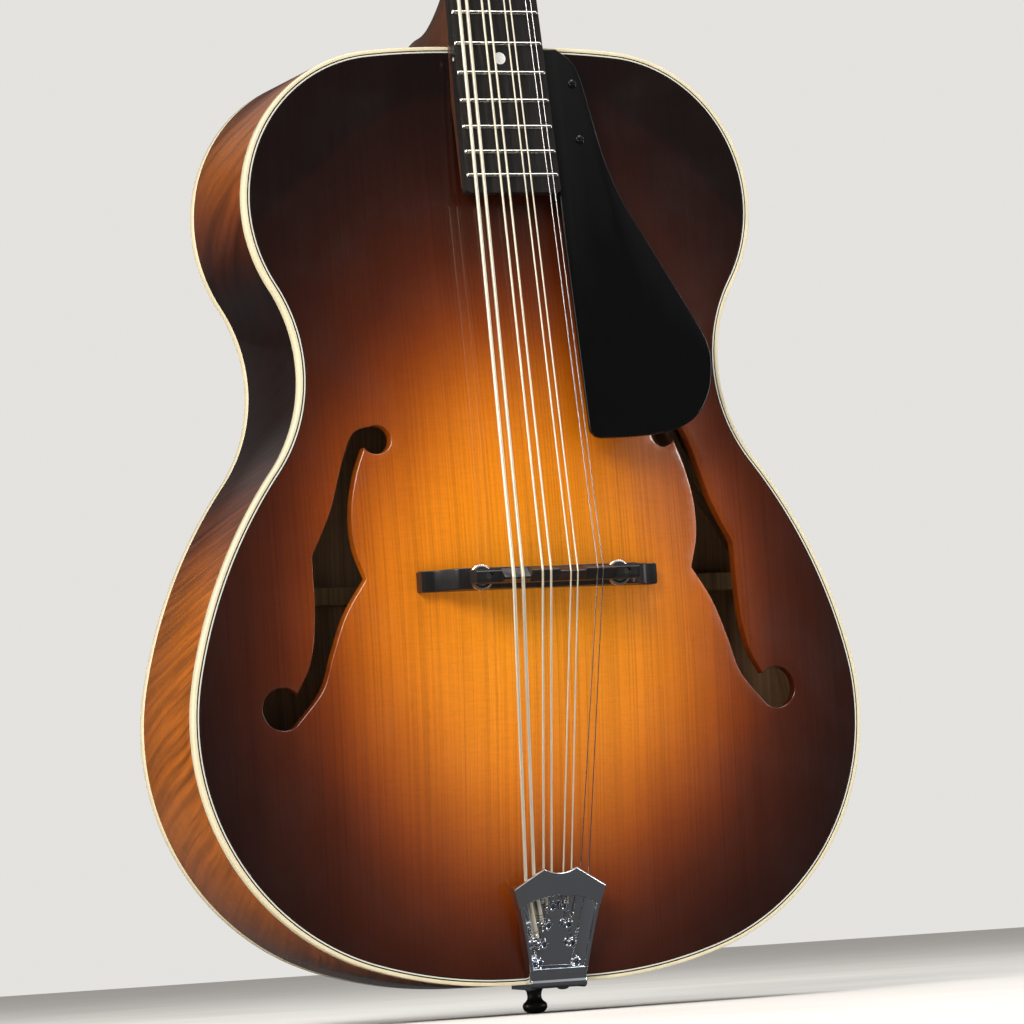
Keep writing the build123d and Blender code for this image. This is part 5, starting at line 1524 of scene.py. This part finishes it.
class MANDOCELLO_OT_tailpiece(bpy.types.Operator):
    """Form the tailpiece's tray, crown, lip and string pegs, and turn the end pin"""

    bl_idname = "mandocello.tailpiece"
    bl_label = "Tailpiece and End Pin"

    def half_width(self, v):
        """Half-width of the shield, in millimetres, at a height up it."""
        if v <= 39.0:
            return 15.6 + 6.8 * (v / 39.0) ** 1.35
        return 22.4 + 3.2 * (v - 39.0) / 10.0

    def tray_ring(self, v, floor):
        """Section of the tray: a dished floor between two upright walls."""
        half = self.half_width(v)
        wall = 2.3
        inner = half - wall
        top = 0.0
        ring = [(-half, -7.0), (-half, top - 0.8), (-half + 0.25, top - 0.25), (-half + 0.8, top)]
        ring += [(-inner - 0.5, top), (-inner, top - 0.5)]
        for k in range(17):
            x = -1 + 2 * k / 16
            rise = (-0.9 - floor) * abs(x) ** 3.2
            ring.append((x * (inner - 0.05), floor + rise))
        ring += [(inner, top - 0.5), (inner + 0.5, top), (half - 0.8, top), (half - 0.25, top - 0.25)]
        ring += [(half, top - 0.8), (half, -7.0)]
        return [TAIL @ (Vector((x, v, w)) * MM) for x, w in ring]

    def execute(self, context):
        bm = bmesh.new()
        stations = [6.4, 7.2, 10.0, 14.0, 18.0, 22.0, 26.0, 30.0, 34.0, 38.0, 42.0, 46.0, 49.5]
        bridge_rings(bm, [self.tray_ring(v, -6.0) for v in stations])
        # solid foot of the tray, and the bar that crosses it
        foot = [(-15.5, 0.6), (15.5, 0.6), (16.2, 7.4), (-16.2, 7.4)]
        slab(bm, TAIL, [(x * MM, v * MM) for x, v in foot], -7.2 * MM, -1.1 * MM, 0.7 * MM)
        bar = [(-15.9, 5.0), (15.9, 5.0), (16.1, 7.6), (-16.1, 7.6)]
        slab(bm, TAIL, [(x * MM, v * MM) for x, v in bar], -3.0 * MM, 0.1 * MM, 0.7 * MM)
        piece("tailpiece_tray", bm, "tail_chrome", stands_for=["tailpiece"])

        bm = bmesh.new()
        arch_turns = [math.radians(76) * (1 - k / 9) for k in range(19)]
        arch = [(22.2 * math.sin(t), 44.6 - 6.4 * (1 - math.cos(t)) / 0.76) for t in arch_turns]
        dip_turns = [math.pi * k / 12 for k in range(1, 12)]
        dip = [(9.0 * math.cos(t), 56.4 + 2.6 * math.cos(t) ** 2) for t in dip_turns]
        crown = [(22.7, 39.0), (25.6, 49.0), (9.0, 59.0), *dip, (-9.0, 59.0), (-25.6, 49.0), (-22.7, 39.0)]
        crown += arch[::-1]
        slab(bm, TAIL, [(x * MM, v * MM) for x, v in crown], -2.2 * MM, 0.35 * MM, 1.0 * MM)
        piece("tailpiece_crown", bm, "tail_chrome", stands_for=["tailpiece"])

        bm = bmesh.new()
        side_on = place((0, 0, 0), (0, 0, 1), (1, 0, 0))
        lip = [(-26.35, 2.0), (-26.35, -0.15), (-7.4, -0.15), (-7.4, -1.5), (-30.0, -2.5), (-31.8, -2.2)]
        lip += [(-33.2, -1.1), (-33.7, 0.4), (-33.2, 1.6), (-31.8, 2.3)]
        slab(bm, side_on, [(y * MM, z * MM) for y, z in lip], -15.3 * MM, 15.3 * MM, 0.5 * MM)
        piece("tailpiece_lip", bm, "tail_chrome", stands_for=["tailpiece"])

        bm = bmesh.new()
        for hand in (-1, 1):
            for peg_x, peg_v in PEG_ROWS:
                at = TAIL @ Matrix.Translation(Vector((hand * peg_x, peg_v, -6.1)) * MM)
                peg = [(1.75, 0.0), (1.75, 3.7), (2.0, 3.9), (2.05, 4.2), (1.9, 4.4)]
                peg += [(1.55, 4.45), (1.25, 4.3), (1.1, 4.0), (1.1, 0.6)]
                turned(bm, at, [(r * MM, h * MM) for r, h in peg], 28)
        piece("tailpiece_pegs", bm, "tail_chrome", stands_for=["tailpiece"])

        bm = bmesh.new()
        pin = [(1.4, 19.0), (2.4, 14.0), (2.4, 0.0), (5.9, 0.0), (6.2, -0.5), (6.15, -1.3)]
        pin += [(5.4, -2.1), (4.5, -2.9), (3.9, -4.2), (3.6, -6.2), (3.8, -7.6), (4.6, -8.8)]
        pin += [(5.8, -9.7), (6.4, -10.9), (6.3, -12.3), (5.6, -13.6), (4.2, -14.6), (2.3, -15.1)]
        pin += [(0.5, -15.2)]
        turned(bm, Matrix(), [(r * MM, h * MM) for r, h in pin[::-1]], 56)
        piece("turned_end_pin", bm, "ebony", stands_for=["end_pin"], sharp=45.0)
        return {"FINISHED"}


class MANDOCELLO_OT_pickguard(bpy.types.Operator):
    """Cut the pickguard and dress its supports"""

    bl_idname = "mandocello.pickguard"
    bl_label = "Pickguard"

    def execute(self, context):
        shape = context.scene.mandocello_shape
        shoulder = [(34.0, -350.0), (42.5, -357.0), (46.6, -368.0), (50.4, -388.0), (54.6, -409.0)]
        flank = [(62.0, -431.0), (73.5, -453.0), (97.0, -498.0), (101.6, -509.0), (102.2, -520.0)]
        foot = [(99.0, -534.0), (91.0, -546.0), (79.5, -552.8), (66.0, -555.6), (50.0, -556.8)]
        outer = curve_through([*shoulder, *flank, *foot, (34.6, -557.0)], 5)
        corner = [(31.6, -556.0), (29.6, -553.6), (29.2, -552.0)]
        string_side = [(26.9, -429.5), (25.4, -350.0)]
        loop = [*outer, *[Vector(p) for p in corner + string_side]]
        bottom = -GUARD_DROP - GUARD_THICKNESS
        bm = bmesh.new()
        slab(bm, BOARD, [p * MM for p in loop[::-1]], bottom, -GUARD_DROP, shape.guard_edge)
        piece("bevelled_pickguard", bm, "black_plastic", stands_for=["pickguard"])
        dress("pickguard_supports", "ebony")
        return {"FINISHED"}


class MANDOCELLO_OT_tuners(bpy.types.Operator):
    """Turn the tuning machines: worms, shafts and buttons, with their posts and plates"""

    bl_idname = "mandocello.tuners"
    bl_label = "Tuning Machines"

    def execute(self, context):
        lead = 2 * math.pi * GEAR_PITCH_RADIUS / GEAR_TEETH

        def worm(radius, height, angle):
            """Worm thread with flat crests, between the lugs."""
            if radius < 2.9 * MM:
                return radius
            phase = (height / lead + angle / (2 * math.pi)) % 1.0
            return radius - 0.85 * MM * min(1.0, max(0.0, abs(2 * phase - 1) * 2.4 - 0.7))

        for number in range(1, 9):
            side = -1 if number <= 4 else 1
            v = POST_V[(number - 1) % 4] + WORM_OFFSET
            axis = (side, 0, 0)
            at = along(HEAD @ Vector((0, v, WORM_DEPTH)), axis)
            bm = bmesh.new()
            worm_start, worm_end = 16.6, 27.4
            steps = 64
            profile = [(1.6, 13.8), (2.0, 14.2), (2.0, worm_start - 0.02)]
            profile += [(3.0, worm_start + (worm_end - worm_start) * k / steps) for k in range(steps + 1)]
            profile += [(2.0, worm_end + 0.02), (2.0, 44.6), (2.3, 45.2), (3.0, 45.6), (3.1, 46.6)]
            profile += [(2.6, 47.4), (2.6, 48.4), (3.0, 49.0), (3.0, 50.4), (1.8, 51.0)]
            turned(bm, at, [(r * MM, h * MM) for r, h in profile], 32, worm)
            body = f"key_{number}"
            piece(f"worm_shaft_{number}", bm, "nickel", body, [f"tuner_key_{number}"])
            bm = bmesh.new()
            rings = []
            for k in range(-9, 10):
                share = math.sin(math.pi / 2 * k / 9.35)
                size = (1 - abs(share) ** 2.5) ** (1 / 2.5)
                ring = []
                for s in range(48):
                    t = 2 * math.pi * s / 48
                    waist = 1.0 + 0.05 * math.cos(2 * t)
                    x = 56.5 * side + 8.0 * size * math.cos(t) * waist
                    y = 9.5 * size * math.sin(t) * waist
                    button_point = Vector((x, y, 3.4 * share)) * MM
                    ring.append(HEAD @ (button_point + Vector((0, v, WORM_DEPTH))))
                rings.append(ring)
            bridge_rings(bm, rings)
            piece(f"tuner_button_{number}", bm, "tuner_button", body, [f"tuner_key_{number}"], sharp=60.0)
            dress(f"tuner_post_{number}", "nickel")
        for node_name in ("post_bushings", "tuner_plate_bass", "tuner_plate_treble"):
            dress(node_name, "nickel")
        return {"FINISHED"}


class MANDOCELLO_OT_screws(bpy.types.Operator):
    """Turn the slotted screws of the tuners, truss-rod cover, tailpiece and pickguard"""

    bl_idname = "mandocello.screws"
    bl_label = "Screws"

    def slotted(self, bm, at, radius, height, shank, length):
        """A domed head, slotted across, on a plain shank; the head's seat is at the frame's zero."""
        rim = 0.35
        dome = [(radius, 0.0), (radius, height * rim)]
        for t in (0.3, 0.6, 0.9, 1.15):
            dome.append((radius * math.cos(t), height * (rim + (1 - rim) * math.sin(t))))
        slot_half = radius * 0.14
        floor = height * 0.45
        segments = 24
        rings = []
        for r, h in [(shank, -length), (shank, 0.0), *dome, (radius * 0.2, height)]:
            ring = []
            for k in range(segments):
                t = 2 * math.pi * (k + 0.5) / segments
                x, y = r * math.cos(t), r * math.sin(t)
                low = floor if abs(y) < slot_half and h > floor else h
                ring.append(at @ Vector((x, y, low)))
            rings.append(ring)
        bridge_rings(bm, rings)

    def execute(self, context):
        plate_back = -17.2
        spots = [(side * 24.0, v) for side in (-1, 1) for v in (31.5, 61.5, 87.5, 113.5, 141.0)]
        machine = [along(HEAD @ (Vector((x, v, plate_back)) * MM), -HEAD_OUT) for x, v in spots]
        cover = [along(HEAD @ (Vector((0, 35.0, 1.8)) * MM), HEAD_OUT)]
        tail = [along(Vector((x, -17.0, -2.0)) * MM, (0, 0, -1)) for x in (-9, 9)]
        guard = [along(BOARD @ Vector((x * MM, v * MM, -GUARD_DROP)), BOARD_OUT) for x, v in GUARD_SCREWS]
        # each set: piece, node, finish, places, then head radius, head height, shank radius, length
        sets = [
            ("machine_screws", "tuner_plate_screws", "nickel", machine, (2.0, 1.1, 1.1, 1.0)),
            ("cover_screw", "truss_cover_screw", "nickel", cover, (2.0, 0.95, 1.0, 3.0)),
            ("strap_plate_screws", "tailpiece_screws", "nickel", tail, (3.0, 1.7, 1.4, 13.0)),
            ("guard_screws", "pickguard_screws", "black_plastic", guard, (2.3, 1.0, 1.1, 5.0)),
        ]
        for name, node_name, finish, places, sizes in sets:
            bm = bmesh.new()
            for at in places:
                self.slotted(bm, at, *[size * MM for size in sizes])
            piece(name, bm, finish, stands_for=[node_name], sharp=40.0)
        return {"FINISHED"}


class MANDOCELLO_OT_stage(bpy.types.Operator):
    """Set the floor, the soft lights, the air and the camera"""

    bl_idname = "mandocello.stage"
    bl_label = "Stage"

    def area_light(self, name, location, target, power, width, height, tint):
        """One soft rectangular light."""
        light = bpy.data.lights.new(name, "AREA")
        light.shape = "RECTANGLE"
        light.size = width
        light.size_y = height
        light.energy = power
        light.color = tint
        lamp = bpy.data.objects.new(name, light)
        lamp.location = location
        lamp.rotation_euler = (Vector(target) - Vector(location)).to_track_quat("-Z", "Y").to_euler()
        bpy.context.scene.collection.objects.link(lamp)

    def execute(self, context):
        scene = context.scene
        stage = scene.mandocello_stage
        tree, shader, position = new_finish("studio_floor", Specular_IOR_Level=0.3)
        speck = noise(tree, scaled(tree, position, (6.0, 6.0, 6.0)), 4.0)
        tone = spread(tree, speck, 0.3, 0.7, 0.94, 1.0)
        roughness = spread(tree, speck, 0.3, 0.7, 0.5, 0.62)
        drive(tree, shader, tinted(tree, (0.8, 0.78, 0.75), tone), roughness)
        # what the gloss and the chrome mirror is a dimmer floor than the one that is seen
        dim = put(tree, "ShaderNodeBsdfDiffuse", {"Color": tinted(tree, (0.06, 0.06, 0.062), tone)})
        mirrored = tree.nodes.new("ShaderNodeLightPath").outputs["Is Glossy Ray"]
        both = put(tree, "ShaderNodeMixShader", {0: mirrored, 1: shader.outputs[0], 2: dim.outputs[0]})
        tree.links.new(both.outputs[0], tree.nodes["Material Output"].inputs["Surface"])
        bm = bmesh.new()
        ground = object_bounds()[0][2]
        reach = 9.0
        grid = 24
        steps = [-reach + 2 * reach * k / grid for k in range(grid + 1)]
        corners = [[bm.verts.new((x, y, ground)) for y in steps] for x in steps]
        for i in range(grid):
            for j in range(grid):
                bm.faces.new((corners[i][j], corners[i + 1][j], corners[i + 1][j + 1], corners[i][j + 1]))
        mesh = bpy.data.meshes.new("studio_floor")
        bm.to_mesh(mesh)
        bm.free()
        floor = bpy.data.objects.new("studio_floor", mesh)
        floor.data.materials.append(bpy.data.materials["studio_floor"])
        scene.collection.objects.link(floor)
        floor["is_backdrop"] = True

        centre = (0.0, 0.0, 0.25)
        low = (0.0, 0.0, 0.1)
        warm, amber = (1.0, 0.97, 0.92), (1.0, 0.95, 0.88)
        cool, white = (0.96, 0.98, 1.0), (1.0, 1.0, 1.0)
        self.area_light("key_light", (-1.9, -1.9, 1.9), centre, stage.key_power, 1.3, 1.3, warm)
        self.area_light("side_light", (-2.2, 0.35, 0.75), centre, stage.side_power, 0.7, 1.4, amber)
        self.area_light("top_light", (0.5, -0.5, 2.6), centre, stage.top_power, 1.6, 1.2, cool)
        self.area_light("strip_light", (1.5, -0.75, 0.5), low, stage.strip_power, 0.16, 1.1, white)

        world = bpy.data.worlds.new("studio_air")
        world.use_nodes = True
        air = world.node_tree
        direction = air.nodes.new("ShaderNodeTexCoord").outputs["Generated"]
        aim = axes(air, direction)
        overhead = spread(air, aim[2], 0.3, 0.9, 0.0, 0.8)
        above_floor = spread(air, aim[2], 0.0, 0.3)
        leftward = maths(air, "MULTIPLY", spread(air, aim[0], -0.55, -0.95), above_floor)
        soft = maths(air, "MAXIMUM", overhead, maths(air, "MULTIPLY", leftward, 0.5))
        room = mixed(air, soft, (0.055, 0.053, 0.052), (1.0, 0.98, 0.95))
        seen = air.nodes.new("ShaderNodeLightPath").outputs["Is Camera Ray"]
        colour = mixed(air, seen, room, (0.93, 0.91, 0.88))
        background = air.nodes["Background"]
        air.links.new(colour, background.inputs["Color"])
        background.inputs["Strength"].default_value = stage.air_light * 2
        scene.world = world

        a, e, roll = stage.camera_side, stage.camera_rise, stage.camera_roll
        back = Vector((math.sin(a) * math.cos(e), -math.cos(a) * math.cos(e), math.sin(e)))
        right = (-back).cross(Vector((0, 0, 1))).normalized()
        up = right.cross(-back).normalized()
        rolled_right = right * math.cos(roll) + up * math.sin(roll)
        rolled_up = up * math.cos(roll) - right * math.sin(roll)
        lens = bpy.data.cameras.new("camera")
        lens.lens = stage.lens
        lens.sensor_width = 36.0
        camera = bpy.data.objects.new("camera", lens)
        turn = Matrix((rolled_right, rolled_up, back)).transposed().to_4x4()
        spot = Vector(stage.look_at) + back * stage.camera_distance
        camera.matrix_world = Matrix.Translation(spot) @ turn
        scene.collection.objects.link(camera)
        scene.camera = camera
        scene.view_settings.view_transform = "Standard"
        return {"FINISHED"}


class MANDOCELLO_PT_panel(bpy.types.Panel):
    """Steps and values of the mandocello"""

    bl_label = "Mandocello"
    bl_space_type = "VIEW_3D"
    bl_region_type = "UI"
    bl_category = "Mandocello"

    def draw(self, context):
        for step in STEPS:
            self.layout.operator(step.bl_idname)
        for group_name in VALUES:
            values = getattr(context.scene, group_name)
            for key in values.__annotations__:
                self.layout.prop(values, key)


STEPS = (
    MANDOCELLO_OT_finishes,
    MANDOCELLO_OT_plates,
    MANDOCELLO_OT_sides,
    MANDOCELLO_OT_neck,
    MANDOCELLO_OT_strings,
    MANDOCELLO_OT_bridge,
    MANDOCELLO_OT_tailpiece,
    MANDOCELLO_OT_pickguard,
    MANDOCELLO_OT_tuners,
    MANDOCELLO_OT_screws,
    MANDOCELLO_OT_stage,
)
VALUES = {
    "mandocello_shape": MandocelloShape,
    "mandocello_colours": MandocelloColours,
    "mandocello_stage": MandocelloStage,
}


def register():
    """Adds the classes and the scene's values."""
    for cls in (*VALUES.values(), *STEPS, MANDOCELLO_PT_panel):
        bpy.utils.register_class(cls)
    for key, cls in VALUES.items():
        setattr(bpy.types.Scene, key, PointerProperty(type=cls))


def unregister():
    """Takes them away again."""
    for key in VALUES:
        delattr(bpy.types.Scene, key)
    for cls in (MANDOCELLO_PT_panel, *STEPS, *VALUES.values()):
        bpy.utils.unregister_class(cls)


def main():
    """Builds the whole instrument in order."""
    register()
    bpy.ops.mandocello.finishes()
    bpy.ops.mandocello.plates()
    bpy.ops.mandocello.sides()
    bpy.ops.mandocello.neck()
    bpy.ops.mandocello.strings()
    bpy.ops.mandocello.bridge()
    bpy.ops.mandocello.tailpiece()
    bpy.ops.mandocello.pickguard()
    bpy.ops.mandocello.tuners()
    bpy.ops.mandocello.screws()
    bpy.ops.mandocello.stage()


if __name__ == "__main__":
    main()
